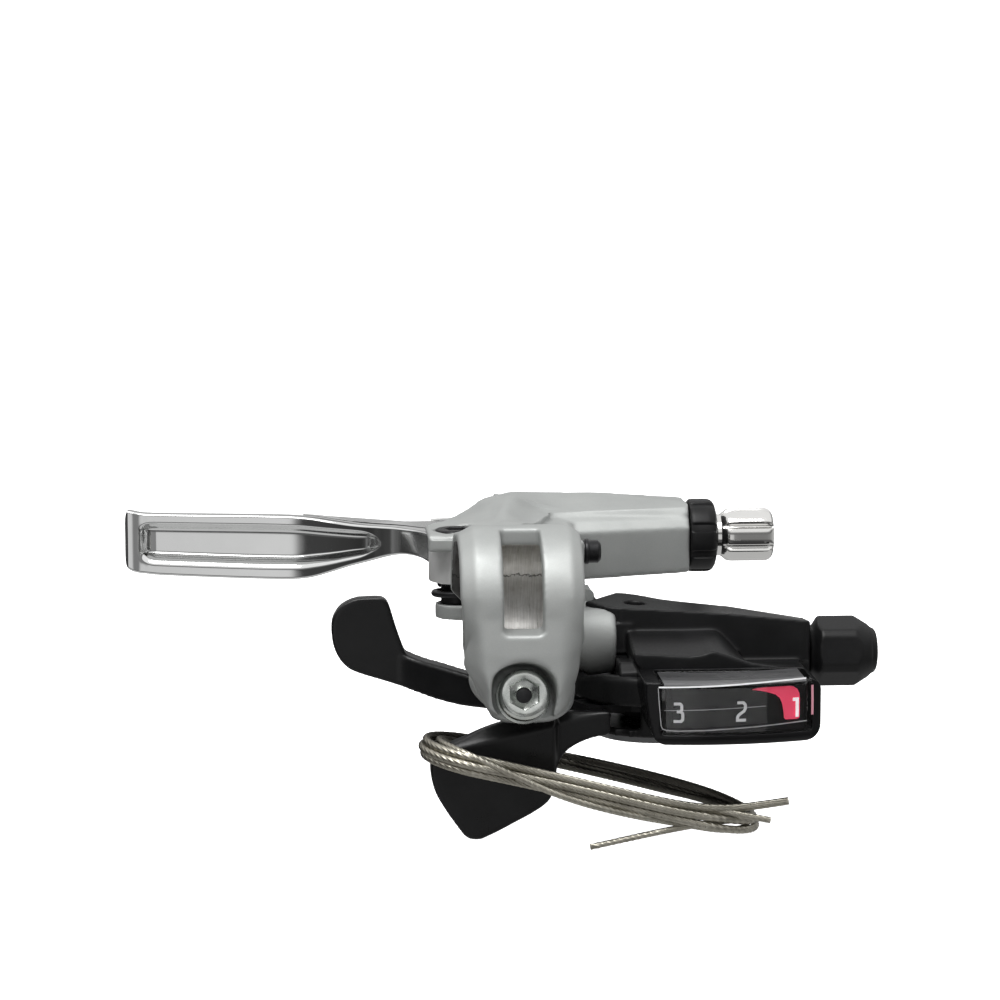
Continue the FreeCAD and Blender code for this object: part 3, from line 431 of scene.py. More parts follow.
def zinc(name):
    m, nt, b = nodes_of(name)
    c1 = grain(nt, 420.0, 4.0, 0.65)
    c2 = grain(nt, 190.0, 3.0, 0.6)
    tone = blend_colour(nt, spread(nt, c1, 0.0, 1.0), (0.50, 0.53, 0.51), (0.74, 0.76, 0.73))
    tone = blend_colour(nt, spread(nt, c2, 0.0, 0.35, 0.5, 0.75), tone, (0.60, 0.62, 0.52))
    nt.links.new(tone, b.inputs["Base Color"])
    nt.links.new(spread(nt, c1, 0.16, 0.32), b.inputs["Roughness"])
    bump(nt, b, grain(nt, 2600.0, 3.0, 0.5), 0.00001, 0.4)
    b.inputs["Metallic"].default_value = 1.0
    return m


def moulding(name, tone, rough, spec=0.36, texture=2300.0, relief=0.00002):
    """Black moulded plastic: a fine spark-eroded texture, slightly uneven gloss, a trace of grey bloom."""
    m, nt, b = nodes_of(name)
    bloom = grain(nt, 110.0, 5.0, 0.65)
    fine = grain(nt, texture, 3.0, 0.6)
    nt.links.new(blend_colour(nt, spread(nt, bloom, 0.0, 1.0), tuple(c * 0.8 for c in tone), tuple(c * 1.35 for c in tone)), b.inputs["Base Color"])
    nt.links.new(calc(nt, "ADD", spread(nt, bloom, rough - 0.05, rough + 0.05), spread(nt, fine, -0.03, 0.03)), b.inputs["Roughness"])
    bump(nt, b, fine, relief, 0.45)
    b.inputs["Specular IOR Level"].default_value = spec
    return m


def clear(name):
    m, nt, b = nodes_of(name)
    smear = grain(nt, 130.0, 4.0, 0.6)
    nt.links.new(blend_colour(nt, spread(nt, smear, 0.0, 1.0), (0.97, 0.975, 0.975), (1.0, 1.0, 1.0)), b.inputs["Base Color"])
    nt.links.new(spread(nt, smear, 0.0, 0.035), b.inputs["Roughness"])
    b.inputs["Transmission Weight"].default_value = 1.0
    b.inputs["IOR"].default_value = 1.30
    b.inputs["Specular IOR Level"].default_value = 0.25
    return m


def wire_rope(name):
    m, nt, b = nodes_of(name)
    c1 = grain(nt, 240.0, 4.0, 0.65)
    c2 = grain(nt, 1500.0, 3.0, 0.6)
    tone = blend_colour(nt, spread(nt, c1, 0.0, 1.0), (0.36, 0.34, 0.285), (0.56, 0.535, 0.46))
    tone = blend_colour(nt, spread(nt, c2, 0.0, 0.5, 0.5, 0.8), tone, (0.17, 0.16, 0.135))
    # painted shade: the far side of the loop, which lies in shadow, is coloured darker
    sep = nt.nodes.new("ShaderNodeSeparateXYZ")
    nt.links.new(place(nt), sep.inputs[0])
    tone = blend_colour(nt, spread(nt, sep.outputs[1], 0.0, 0.78, -0.002, 0.009), tone, (0.030, 0.029, 0.026))
    nt.links.new(tone, b.inputs["Base Color"])
    nt.links.new(spread(nt, c2, 0.26, 0.42), b.inputs["Roughness"])
    bump(nt, b, c2, 0.000012, 0.4)
    b.inputs["Metallic"].default_value = 1.0
    return m


def with_painted_glow(m, colour, strength):
    """Emission added to a material: painted light, which makes a print, moulding or edge strip shine brighter than the
    lamps light it.
    """
    b = m.node_tree.nodes["Principled BSDF"]
    b.inputs["Emission Color"].default_value = colour + (1.0,)
    b.inputs["Emission Strength"].default_value = strength
    return m


M = {
    "silver_paint": cast_paint("silver_paint_cast"),
    "polished_alloy": polished("polished_alloy_buffed", (0.90, 0.905, 0.90), 0.075, (60.0, 60.0, 4200.0), (-0.0200, -0.0160, 0.12)),
    "bright_alloy": polished("bright_alloy_turned", (0.88, 0.875, 0.855), 0.11, (5200.0, 60.0, 60.0)),
    "zinc_steel": zinc("zinc_plate"),
    "steel": surface("steel_stamped", (0.36, 0.365, 0.37), (0.52, 0.525, 0.53), 1.0, 0.34, 0.08, 190.0, 2400.0),
    "black_steel": surface("black_oxide", (0.012, 0.012, 0.013), (0.028, 0.028, 0.03), 0.55, 0.34, 0.08, 300.0, 2600.0, 0.00001),
    "bronze": surface("bronze_bush", (0.36, 0.23, 0.10), (0.52, 0.35, 0.17), 1.0, 0.36, 0.08, 260.0, 2800.0),
    "black_plastic": moulding("black_moulding", (0.0078, 0.0078, 0.0082), 0.40, 0.24),
    "gloss_black": moulding("gloss_black_moulding", (0.0048, 0.0048, 0.0052), 0.22, 0.22, 1700.0, 0.000006),
    "grey_plastic": moulding("grey_moulding", (0.110, 0.113, 0.117), 0.38, 0.35),
    "dark_plate": surface("dark_phosphate_plate", (0.010, 0.010, 0.010), (0.022, 0.022, 0.023), 0.4, 0.42, 0.08, 260.0, 2400.0, 0.00001, spec=0.2),
    "clear_lens": clear("clear_window"),
    "dial_black": surface("dial_print_black", (0.0035, 0.0035, 0.004), (0.009, 0.009, 0.010), 0.0, 0.40, 0.05, 240.0, 2200.0, 0.000002, spec=0.09),
    # painted light: the emission on the pointer, the prints and the window strips makes them shine brighter than the
    # lamps light them
    "pointer_red": with_painted_glow(surface("pointer_red_moulding", (0.72, 0.05, 0.115), (0.84, 0.07, 0.15), 0.0, 0.38, 0.06, 300.0, 2600.0, 0.000008, spec=0.3), (0.85, 0.06, 0.13), 0.30),
    "satin_alloy": surface("satin_alloy_tumbled", (0.66, 0.66, 0.65), (0.78, 0.78, 0.77), 0.45, 0.40, 0.06, 220.0, 2400.0, 0.00001),
    "lever_black": moulding("black_lever_moulding", (0.0066, 0.0066, 0.0070), 0.32, 0.40),
    # painted highlights: the edge materials colour strips laid along the window's edge, where its bevel catches light
    "edge_highlight_strong": with_painted_glow(surface("window_edge_highlight_strong", (0.70, 0.71, 0.72), (0.86, 0.87, 0.88), 0.0, 0.25, 0.05, 260.0, 2600.0, 0.000006), (1.0, 1.0, 1.0), 0.22),
    "edge_highlight_faint": with_painted_glow(surface("window_edge_highlight_faint", (0.20, 0.20, 0.21), (0.32, 0.32, 0.33), 0.0, 0.3, 0.05, 260.0, 2600.0, 0.000006), (1.0, 1.0, 1.0), 0.05),
    # painted reflection: the haze and sheen materials colour strips laid over the clear window's top, standing in for
    # the light it reflects
    "window_top_reflection": surface("window_top_painted_reflection", (0.024, 0.024, 0.026), (0.078, 0.078, 0.081), 0.0, 0.3, 0.05, 150.0, 2600.0, 0.000006, stretch=(0.25, 2.2, 1.0)),
    "window_sheen": surface("window_top_sheen", (0.075, 0.075, 0.078), (0.175, 0.175, 0.18), 0.0, 0.3, 0.05, 150.0, 2600.0, 0.000006, stretch=(0.25, 2.2, 1.0)),
    "edge_highlight_pink": with_painted_glow(surface("window_edge_highlight_tinted", (0.46, 0.20, 0.25), (0.58, 0.28, 0.33), 0.0, 0.3, 0.05, 260.0, 2600.0, 0.000006), (0.8, 0.35, 0.45), 0.16),
    "cable_steel": wire_rope("stranded_cable"),
    "print_grey": with_painted_glow(surface("print_grey", (0.36, 0.36, 0.37), (0.48, 0.48, 0.49), 0.0, 0.5, 0.05, 700.0, 4200.0, 0.000004, spec=0.3), (1.0, 1.0, 1.0), 0.17),
    "print_white": with_painted_glow(surface("print_white", (0.80, 0.76, 0.77), (0.90, 0.87, 0.88), 0.0, 0.5, 0.05, 700.0, 4200.0, 0.000004, spec=0.3), (1.0, 0.93, 0.95), 0.42),
}

SLOT = {
    "bracket_body": "silver_paint", "clamp_bolt": "zinc_steel", "clamp_washer": "zinc_steel", "clamp_nut": "zinc_steel",
    "brake_lever": "polished_alloy", "lever_pivot_bolt": "black_steel", "pivot_bush": "bronze", "lever_return_spring": "black_steel",
    "cable_anchor": "steel", "reach_screw": "black_steel", "brake_barrel_adjuster": "bright_alloy", "brake_lock_ring": "black_plastic",
    "shifter_housing": "black_plastic", "shifter_base_cover": "black_plastic", "bottom_cap": "grey_plastic", "shifter_fixing_bolt": "zinc_steel",
    "base_plate": "steel", "main_axle": "steel", "axle_nut": "zinc_steel", "winder_drum": "black_plastic", "ratchet_wheel": "steel",
    "winder_spring": "steel", "thumb_lever_plate": "steel", "thumb_lever": "black_plastic", "drive_pawl": "steel", "drive_pawl_pin": "steel",
    "thumb_lever_spring": "steel", "release_lever_plate": "steel", "release_lever": "black_plastic", "stop_pawl": "steel", "stop_pawl_pin": "steel",
    "cover_screws": "zinc_steel", "top_screw": "black_steel", "shift_barrel_adjuster": "black_plastic", "indicator_frame": "gloss_black",
    "indicator_lens": "clear_lens", "dial_plate": "dial_black", "gear_pointer": "pointer_red", "cable_coil": "cable_steel",
}
# the works inside the shifter are oiled, phosphated steel
DARK = ("thumb_lever_plate", "release_lever_plate", "base_plate", "drive_pawl", "drive_pawl_pin", "thumb_lever_spring", "winder_spring", "ratchet_wheel", "stop_pawl", "stop_pawl_pin", "main_axle", "axle_nut", "cover_screws")
for name, ob in NODES.items():
    mat = M["dark_plate" if name in DARK else SLOT.get(name, "cable_steel")]
    if not ob.material_slots:
        ob.data.materials.append(mat)
    for s in ob.material_slots:
        s.material = mat

# ------------------------------------------------------------------ camera
C = Vector((-47.98339, -639.27801, 109.00754)) * MM
BACK = Vector((-0.06908, -0.98786, 0.13917)).normalized()
RIGHT = Vector((0.99756, -0.06976, 0.0)).normalized()
UP = BACK.cross(RIGHT).normalized()
cam = bpy.data.cameras.new("camera")
cam.sensor_width = 36.0
cam.sensor_fit = "HORIZONTAL"
cam.lens = 128.7
cam.clip_start = 0.01
cam.clip_end = 400.0
camera = bpy.data.objects.new("camera", cam)
camera.matrix_world = Matrix(((RIGHT.x, UP.x, BACK.x, C.x), (RIGHT.y, UP.y, BACK.y, C.y), (RIGHT.z, UP.z, BACK.z, C.z), (0, 0, 0, 1)))
SCENE.collection.objects.link(camera)
SCENE.camera = camera

# ------------------------------------------------------------------ hung cables
SLOPE = math.radians(12.6)
CA, SA = math.cos(SLOPE), math.sin(SLOPE)


def hung(x, y, z=0.0):
    """A point of the loop's own plane, in the part's frame (mm)."""
    return (14.0 + x * CA + z * SA, 3.0 + y, -33.0 - x * SA + z * CA)


def turn(table):
    """Control points of one turn: along the near side to the left, round, back along the far side, and round again.
    Each row of the table is how far out and how far up the strand lies there from the loop's middle line."""
    spots = [(17.0, -9.0, 0.0, -1.0), (6.0, -9.0, 0.0, -1.0), (-6.0, -9.0, 0.0, -1.0), (-17.0, -9.0, 0.0, -1.0)]
    for a in (-112.5, -157.5, 157.5, 112.5):
        c, s = math.cos(math.radians(a)), math.sin(math.radians(a))
        spots.append((-21.5 + 9.5 * c, 9.5 * s, c, s))
    spots += [(-17.0, 9.0, 0.0, 1.0), (-6.0, 9.0, 0.0, 1.0), (6.0, 9.0, 0.0, 1.0), (17.0, 9.0, 0.0, 1.0)]
    for a in (67.5, 22.5, -22.5, -67.5):
        c, s = math.cos(math.radians(a)), math.sin(math.radians(a))
        spots.append((21.5 + 9.5 * c, 9.5 * s, c, s))
    return [hung(x + ox * out, y + oy * out, up) for (x, y, ox, oy), (out, up) in zip(spots, table)]


def smooth_line(name, points):
    """The NURBS line through a route, read back as points (mm)."""
    cu = bpy.data.curves.new(name, "CURVE")
    cu.dimensions = "3D"
    sp = cu.splines.new("NURBS")
    sp.points.add(len(points) - 1)
    for p, q in zip(sp.points, points):
        p.co = (q[0] * MM, q[1] * MM, q[2] * MM, 1.0)
    sp.order_u = 3
    sp.use_endpoint_u = True
    sp.resolution_u = 12
    ob = put(name, cu)
    bpy.context.view_layer.update()
    me = bpy.data.meshes.new_from_object(ob.evaluated_get(bpy.context.evaluated_depsgraph_get()))
    line = [Vector(v.co) / MM for v in me.vertices]
    bpy.data.meshes.remove(me)
    bpy.data.objects.remove(ob)
    bpy.data.curves.remove(cu)
    out = [line[0]]
    for p in line[1:]:
        if (p - out[-1]).length > 0.05:
            out.append(p)
    return out


def strand(name, line, diameter, wires, lay):
    """A stranded cable along a line: its section has one lobe for each outer wire, and the lobes wind round it."""
    per = 4
    n = wires * per
    rings = []
    t = (line[1] - line[0]).normalized()
    side = t.orthogonal().normalized()
    run = 0.0
    for i, p in enumerate(line):
        if i:
            run += (p - line[i - 1]).length
        a = line[max(i - 1, 0)]
        b = line[min(i + 1, len(line) - 1)]
        t = (b - a).normalized()
        side = (side - t * side.dot(t)).normalized()
        up = t.cross(side)
        ring = []
        for j in range(n):
            w = 2.0 * math.pi * j / n
            k = (j % per) / float(per)
            r = diameter * 0.5 * (1.0 - 0.145 * (1.0 if j % per == 0 else (0.18 if per == 4 and j % per in (1, 3) else 0.0)))
            g = w + 2.0 * math.pi * run / lay
            q = p + side * (r * math.cos(g)) + up * (r * math.sin(g))
            ring.append((q.x, q.y, q.z))
        rings.append(ring)
    verts, faces = loft(rings, caps=True)
    ob = put(name, mesh_of(name, verts, faces))
    shade(ob, 60)
    return ob


# near side (4 rows), left end (4), far side (4), right end (4): (out, up)
B0 = [(0.2, -0.2), (0.5, 0.0), (0.6, 0.45), (0.3, 0.65), (0.4, 0.6), (1.3, 0.5), (1.2, 0.5), (0.3, 0.6), (0.2, 0.7), (0.4, 0.9), (0.2, 0.9), (-0.2, 0.5), (-0.5, -0.2), (0.3, -0.9), (0.9, -1.3), (0.6, -1.0)]
B1 = [(0.9, -1.5), (1.0, -1.25), (1.1, -0.85), (1.0, -0.75), (1.1, -0.8), (1.9, -0.8), (1.7, -0.8), (0.9, -0.7), (0.9, -0.6), (1.0, -0.7), (1.1, -0.6), (0.8, -0.8), (0.9, -1.4), (1.4, -2.0), (1.3, -2.7), (0.9, -2.9)]
B2 = [(0.5, -2.85), (0.6, -2.65), (0.4, -2.2), (0.2, -2.1), (0.5, -2.1), (1.2, -2.05), (1.1, -2.0), (0.2, -1.9), (-0.5, -1.4), (-0.6, -1.0)]
G0 = [(-0.9, -1.25), (-0.7, -0.85), (-0.5, -0.4), (-0.9, -0.25), (-1.0, -0.4), (-0.3, -0.6), (-0.4, -0.5), (-0.9, -0.4), (-1.1, -0.3), (-1.0, 0.2), (-1.2, -0.3), (-1.1, -1.4), (-1.3, -1.8), (-0.9, -2.0), (-0.2, -2.7), (-0.7, -3.5)]
G1 = [(-0.8, -3.8), (1.5, -3.7), (2.2, -2.9), (1.8, -0.3), (0.1, 1.25), (-1.1, 1.15), (-1.3, 0.7), (-1.8, -0.1), (-1.9, -0.6), (-2.1, -0.6), (-1.9, -0.9), (-1.4, -1.5), (-0.6, -1.6), (0.2, -1.4), (0.1, -1.2)]
brake_route = [(49.2, -5.0, -36.4), (44.0, -5.2, -37.1), (38.2, -5.6, -37.6)] + turn(B0) + turn(B1) + turn(B2)[:10]
gear_route = [(45.7, -6.6, -39.6), (41.6, -6.4, -38.8), (36.6, -5.6, -37.9)] + turn(G0) + turn(G1)[:15] + [(37.5, -4.9, -39.9), (30.0, -5.6, -40.8), (22.0, -5.8, -42.3), (12.8, -5.6, -44.3)]
brake_line = smooth_line("brake_route", brake_route)
gear_line = smooth_line("gear_route", gear_route)
brake_cord = strand("brake_inner_cable", brake_line, 1.5, 8, 11.0)
gear_cord = strand("gear_inner_cable", gear_line, 1.2, 8, 9.0)
finish_piece(brake_cord, "thumb", "cable_steel", M["cable_steel"], "cable_coil", "brake_cable_end")
finish_piece(gear_cord, "thumb", "cable_steel", M["cable_steel"], "gear_cable_tail")

# ------------------------------------------------------------------ bracket casting
bracket = put("bracket_casting", copy_of("bracket_body"))
soften(bracket, 0.42, 5)


EAR_LIFT = [(-27.0, 2.2), (-23.8, 1.9), (-20.5, 1.15), (-17.5, 0.75), (-11.5, 0.9), (-8.5, 0.0)]


HOOD_FALL = [(-4.5, 0.0), (-3.2, 0.1), (-1.6, 0.6), (-0.5, 1.0), (0.3, 1.2), (1.1, 1.12), (1.9, 1.0), (3.6, 0.82), (6.9, 0.70), (12.0, 0.66), (20.0, 0.68), (30.0, 0.74)]


def bracket_shape(x, y, z):
    # the hood narrows towards the clamp ring, and its far edge is rounded off
    if x > -3.0 and 12.4 < y < 41.5 and z > 9.0:
        side = 1.2 + (y - 14.0) * 0.33
        x = lerp(x, -3.0 + (x + 3.0) * (side + 3.0) / 15.5, step(9.0, 10.2, z) * step(12.4, 13.8, y) * step(41.5, 39.5, y))
        z = lerp(z, min(z, 11.3), step(side - 7.5, side - 0.2, x) * step(16.0, 30.0, y))
    if y > 38.0 and z > 10.6:
        z -= between(HOOD_FALL, x) * step(38.0, 50.0, y) * step(10.6, 12.6, z)
    # the ear is short and drawn in at its left, and its right flank runs down straight
    if y < 14.0 and z < 1.0:
        x0 = x
        draw = max(0.3, min(2.1, 0.3 + (y + 11.0) * 0.085))
        draw = lerp(draw, 1.95, step(-9.0, -15.0, z))
        x += draw * step(-5.0, -10.0, x0) * step(1.0, -2.0, z)
        x += 1.1 * step(-2.5, -7.5, x0) * step(-17.0, -20.5, z)
        if y < 8.5:
            x -= 0.75 * step(5.0, 10.0, x0) * step(-4.5, -10.0, z) * step(-17.0, -13.5, z)
            x += 1.2 * step(2.5, 6.5, x0) * step(-16.5, -20.5, z)
            x += 0.45 * step(7.0, 10.0, x0) * step(-2.5, -4.5, z) * step(-7.5, -5.5, z)
            # the ring's bevel runs on down the ear
            if y < -6.0:
                y += 1.6 * step(7.4, 10.8, abs(x0)) * step(-1.0, -5.5, z) * step(-19.0, -15.0, z) * step(-6.0, -9.0, y)
            z += between(EAR_LIFT, z) * (1.0 - 0.4 * step(1.0, 5.5, x0)) * step(11.6, 13.4, math.hypot(y, z)) * step(8.5, 6.5, y)
    # the hood comes down to the clamp ring
    if y > 11.9 and z > 8.0 and x > -9.0:
        z -= 1.8 * step(11.9, 12.6, y) * step(38.0, 16.0, y) * step(-9.0, -3.0, x) * step(8.0, 10.3, z)
    # the foot behind the boss stands back
    if x > 12.2 and -4.0 < z < -1.2 and 15.0 < y < 24.0:
        y = lerp(y, max(y, 23.6), step(12.2, 13.4, x))
    # the hood's outer corner falls away towards the lever
    if y > 12.5 and z > 9.9:
        d = 1.25 * step(1.0, -7.0, x) * (1.0 - 0.45 * step(-11.0, -15.5, x))
        z -= d * step(9.9, 10.6, z)
    # the boss reaches up to the shifter's housing
    if x > 14.5 and 11.0 < y < 26.0 and -17.5 < z < -2.2:
        x = 14.5 + (x - 14.5) * 1.27
    if x > 12.5 and 11.0 < y < 26.0 and -17.5 < z < -9.5:
        z = -9.5 + (z + 9.5) * (1.0 + 0.24 * step(12.5, 14.5, x))
    # the barrel block's top leans down towards the rider
    if x > 1.0 and y > 24.0 and z > 10.3:
        cap = max(10.9, 11.0 + (y - 40.0) * 0.16)
        z = lerp(z, min(z, cap), step(1.0, 12.0, x) * step(24.0, 40.0, y))
    return x, y, z


moved(bracket, bracket_shape)
# the ear's flanks run smoothly into the ring
flank = bracket.vertex_groups.new(name="flank")
for v in bracket.data.vertices:
    x, y, z = (c / MM for c in v.co)
    w = step(6.2, 7.8, abs(x)) * step(3.5, 0.5, z) * step(-20.0, -17.0, z) * step(9.0, 5.0, y)
    if w > 0.0:
        flank.add([v.index], w, "REPLACE")
ease = bracket.modifiers.new("ease", "SMOOTH")
ease.factor = 0.5
ease.iterations = 60
ease.vertex_group = "flank"
settle(bracket)
finish_piece(bracket, "bracket", "silver_paint", M["silver_paint"], "bracket_body")

# ------------------------------------------------------------------ brake lever
# x, y, heading from +Y towards -X, thickness, low edge, high edge, low and high edge of the hollow, its depth, lip towards the rider
LEVER = [
    (-10.6, 26.0, 18.0, 7.6, 2.9, 8.85, 4.9, 6.3, 0.0, 0.0),
    (-12.6, 31.2, 25.5, 7.3, 3.5, 8.85, 5.2, 6.4, 0.0, 0.0),
    (-14.5, 34.8, 31.5, 6.9, 3.6, 8.72, 5.3, 6.4, 0.0, 0.0),
    (-16.8, 38.1, 38.7, 6.6, 3.45, 8.55, 5.0, 6.3, 0.0, 0.0),
    (-18.8, 40.5, 44.8, 6.36, 3.0, 8.46, 4.7, 5.7, 0.0, 0.0),
    (-20.4, 42.0, 48.9, 6.25, 2.55, 8.38, 4.5, 5.5, 0.0, 0.0),
    (-21.6, 43.0, 51.6, 6.19, 2.15, 8.32, 4.2, 5.55, 0.03, 0.0),
    (-22.2, 43.5, 53.0, 6.15, 1.93, 8.29, 3.75, 5.9, 0.25, 0.0),
    (-22.9, 44.08, 54.6, 6.1, 1.66, 8.26, 3.2, 6.3, 0.65, 0.0),
    (-23.8, 44.75, 56.6, 6.04, 1.33, 8.22, 2.65, 6.58, 1.1, 0.0),
    (-24.8, 45.45, 58.6, 5.98, 0.97, 8.2, 2.1, 6.74, 1.55, 0.0),
    (-26.2, 46.25, 61.0, 5.91, 0.52, 8.21, 1.55, 6.82, 2.0, 0.0),
    (-28.6, 47.5, 64.9, 5.8, -0.25, 8.3, 0.85, 6.85, 2.25, 0.0),
    (-32.0, 49.05, 69.6, 5.68, -1.5, 8.6, -0.15, 6.9, 2.35, 0.0),
    (-35.4, 50.25, 73.4, 5.56, -2.6, 9.0, -0.95, 7.05, 2.4, 0.0),
    (-38.2, 51.1, 76.1, 5.5, -3.1, 9.2, -1.4, 7.2, 2.4, 0.0),
    (-41.6, 51.85, 78.5, 5.44, -3.28, 9.32, -1.52, 7.28, 2.4, 0.0),
    (-48.2, 52.9, 82.2, 5.34, -3.25, 9.35, -1.5, 7.32, 2.4, 0.0),
    (-58.1, 54.0, 86.0, 5.2, -2.98, 9.4, -1.25, 7.38, 2.4, 0.0),
    (-65.9, 54.5, 87.6, 5.08, -2.64, 9.5, -0.95, 7.5, 2.4, 0.0),
    (-67.2, 54.56, 87.8, 5.04, -2.52, 9.53, -0.88, 7.52, 2.3, 0.0),
    (-68.1, 54.6, 88.0, 5.0, -2.43, 9.58, -0.8, 7.5, 1.95, 0.0),
    (-68.9, 54.61, 88.1, 4.98, -2.34, 9.62, -0.62, 7.4, 1.25, 0.0),
    (-69.6, 54.62, 88.1, 4.96, -2.27, 9.69, -0.3, 7.15, 0.5, 0.0),
    (-70.2, 54.64, 88.1, 4.92, -2.16, 9.8, 0.3, 6.8, 0.05, 0.05),
    (-71.3, 54.67, 88.1, 4.8, -1.85, 10.05, 0.0, 7.4, 0.0, 0.22),
    (-72.2, 54.69, 88.1, 4.6, -1.35, 10.2, 0.6, 7.3, 0.0, 0.28),
]


def lever_ring(row, shrink=0.0):
    x, y, head, t, z0, z1, r0, r1, d, lip = row
    a = math.radians(head)
    nx, ny = math.cos(a), math.sin(a)
    zm = 0.5 * (z0 + z1)
    full = max(0.6, r1 - r0)
    L = min(2.55, full * 0.31)
    U = min(1.15, full * 0.20)
    f0, f1 = r0 + 1.05 * L, r1 - 1.18 * U
    pts = [
        (0.80, z0), (0.22, z0 + 0.07), (0.03, z0 + 0.30), (0.0, z0 + 0.62), (0.0, lerp(z0 + 0.62, r0, 0.5)), (0.0, r0),
        (0.035 * d, r0 + 0.17 * L), (0.10 * d, r0 + 0.32 * L), (0.24 * d, r0 + 0.47 * L), (0.60 * d, r0 + 0.73 * L), (0.90 * d, r0 + 0.93 * L), (d, f0),
        (1.01 * d, lerp(f0, f1, 0.33)), (1.01 * d, lerp(f0, f1, 0.67)), (d, f1),
        (0.87 * d, r1 - 0.75 * U), (0.28 * d, r1 - 0.16 * U), (0.05 * d, r1 + 0.07), (0.0, r1 + 0.30), (0.0, lerp(r1 + 0.3, z1 - 0.62, 0.5)), (0.0, z1 - 0.62), (0.03, z1 - 0.30), (0.22, z1 - 0.07), (0.80, z1),
        (t - 1.7, z1 - 0.05), (t - 0.55, z1 - 0.6), (t - 0.06, z1 - 1.9), (t + 0.10, zm), (t - 0.06, z0 + 1.9), (t - 0.55, z0 + 0.6), (t - 1.7, z0 + 0.05),
    ]
    out = []
    for u, z in pts:
        if u < t * 0.5:
            u = u - lip * (1.0 if u < 1.2 else 0.4)
        u = lerp(u, t * 0.5, shrink)
        z = lerp(z, zm, shrink)
        u -= t * 0.5
        out.append((x + nx * u, y + ny * u, z))
    return out


rows = rows_at(LEVER, 80)
rings = [lever_ring(r) for r in rows]
tip = rows[-1]
for dx, sh in ((0.28, 0.06), (0.5, 0.20), (0.60, 0.45), (0.62, 0.75)):
    rings.append(lever_ring((tip[0] - dx,) + tip[1:], sh))
blade = put("brake_lever_blade", mesh_of("brake_lever_blade", *loft(rings)))
sub = blade.modifiers.new("sub", "SUBSURF")
sub.levels = sub.render_levels = 2
settle(blade)
shade(blade)
# the flat of the lever between the blade, the pivot and the cable's anchor
flat = round_line([(-38.0, 52.6), (-34.0, 51.2), (-28.6, 48.9), (-24.4, 46.8), (-19.4, 42.5), (-15.2, 37.0), (-13.6, 34.4), (-12.9, 36.0), (-12.6, 39.0), (-12.8, 42.4), (-13.9, 43.9), (-16.8, 45.2), (-20.0, 46.6), (-25.0, 49.2), (-30.6, 51.8)], 6)
levels = [(5.2, 0.0), (-0.62, 0.0), (-0.30, 0.05), (-0.08, 0.22), (0.0, 0.6)]
rim = [(-38.2, 9.15), (-35.4, 8.95), (-32.0, 8.58), (-28.6, 8.28), (-24.4, 8.18), (-21.7, 8.28), (-19.0, 8.43), (-16.8, 8.53), (-14.5, 8.7), (-12.6, 8.83)]
cx, cy = sum(p[0] for p in flat) / len(flat), sum(p[1] for p in flat) / len(flat)
rings = []
for z, inset in levels:
    ring = []
    for k in range(len(flat)):
        (xa, ya), (xb, yb), (xc, yc) = flat[k - 1], flat[k], flat[(k + 1) % len(flat)]
        tx, ty = xc - xa, yc - ya
        l = math.hypot(tx, ty)
        ring.append((xb + ty / l * inset, yb - tx / l * inset, z if z > 1.0 else z + between(rim, xb)))
    rings.append(ring)
plate = put("brake_lever_flat", mesh_of("brake_lever_flat", *loft(rings)))
shade(plate, 50)
finish_piece(plate, "lever", "polished_alloy", M["polished_alloy"])
# the hub round the pivot, and the cable arm under the hood
profile = [(3.62, 0.9), (4.85, 0.9), (5.1, 1.0), (5.2, 1.25), (5.2, 8.35), (5.1, 8.6), (4.85, 8.72), (3.62, 8.72)]
rings = [[(-10.0 + r * math.cos(2 * math.pi * k / 72), 21.0 + r * math.sin(2 * math.pi * k / 72), z) for k in range(72)] for r, z in profile]
hub_parts = put("tmp_hub", mesh_of("tmp_hub", *loft(rings, caps=False, ring_closed=True)))
hub = put("brake_lever_hub", kept("brake_lever", (-13.4, 0, 0), (-1.0, 0.0, 0.0)))
join_into(hub, hub_parts)
shade(hub, 40)
finish_piece(blade, "lever", "polished_alloy", M["polished_alloy"], "brake_lever")
finish_piece(hub, "lever", "polished_alloy", M["satin_alloy"])

# ------------------------------------------------------------------ turned pieces
def turned(name, y0, z0, stations, around, rule):
    """A piece turned about a line along X. Each station is (x, r); the rule gives the radius at an angle there."""
    rings = []
    for i, (x, r) in enumerate(stations):
        ring = []
        for j in range(around):
            a = 2.0 * math.pi * j / around
            rr = rule(i, x, r, a)
            ring.append((x, y0 + rr * math.cos(a), z0 + rr * math.sin(a)))
        rings.append(ring)
    return rings


def lobes(a, count, edge):
    """0 on a lobe's back, 1 at the bottom of the groove beside it."""
    k = (a * count / (2.0 * math.pi)) % 1.0
    k = abs(k - 0.5) * 2.0
    return step(1.0 - edge, 1.0, k)


def barrel_rule(i, x, r, a):
    if r < 4.2:
        return r
    k = ((a - 2.635) * 7 / (2.0 * math.pi)) % 1.0
    k = abs(k - 0.5) * 2.0
    flat = 0.10 * (1.0 - math.cos(k * math.pi * 0.5))
    deep = 0.72 * step(0.66, 0.97, k) * step(42.9, 44.5, x)
    return r - (flat + deep) * (1.0 if x < 52.6 else 0.55)


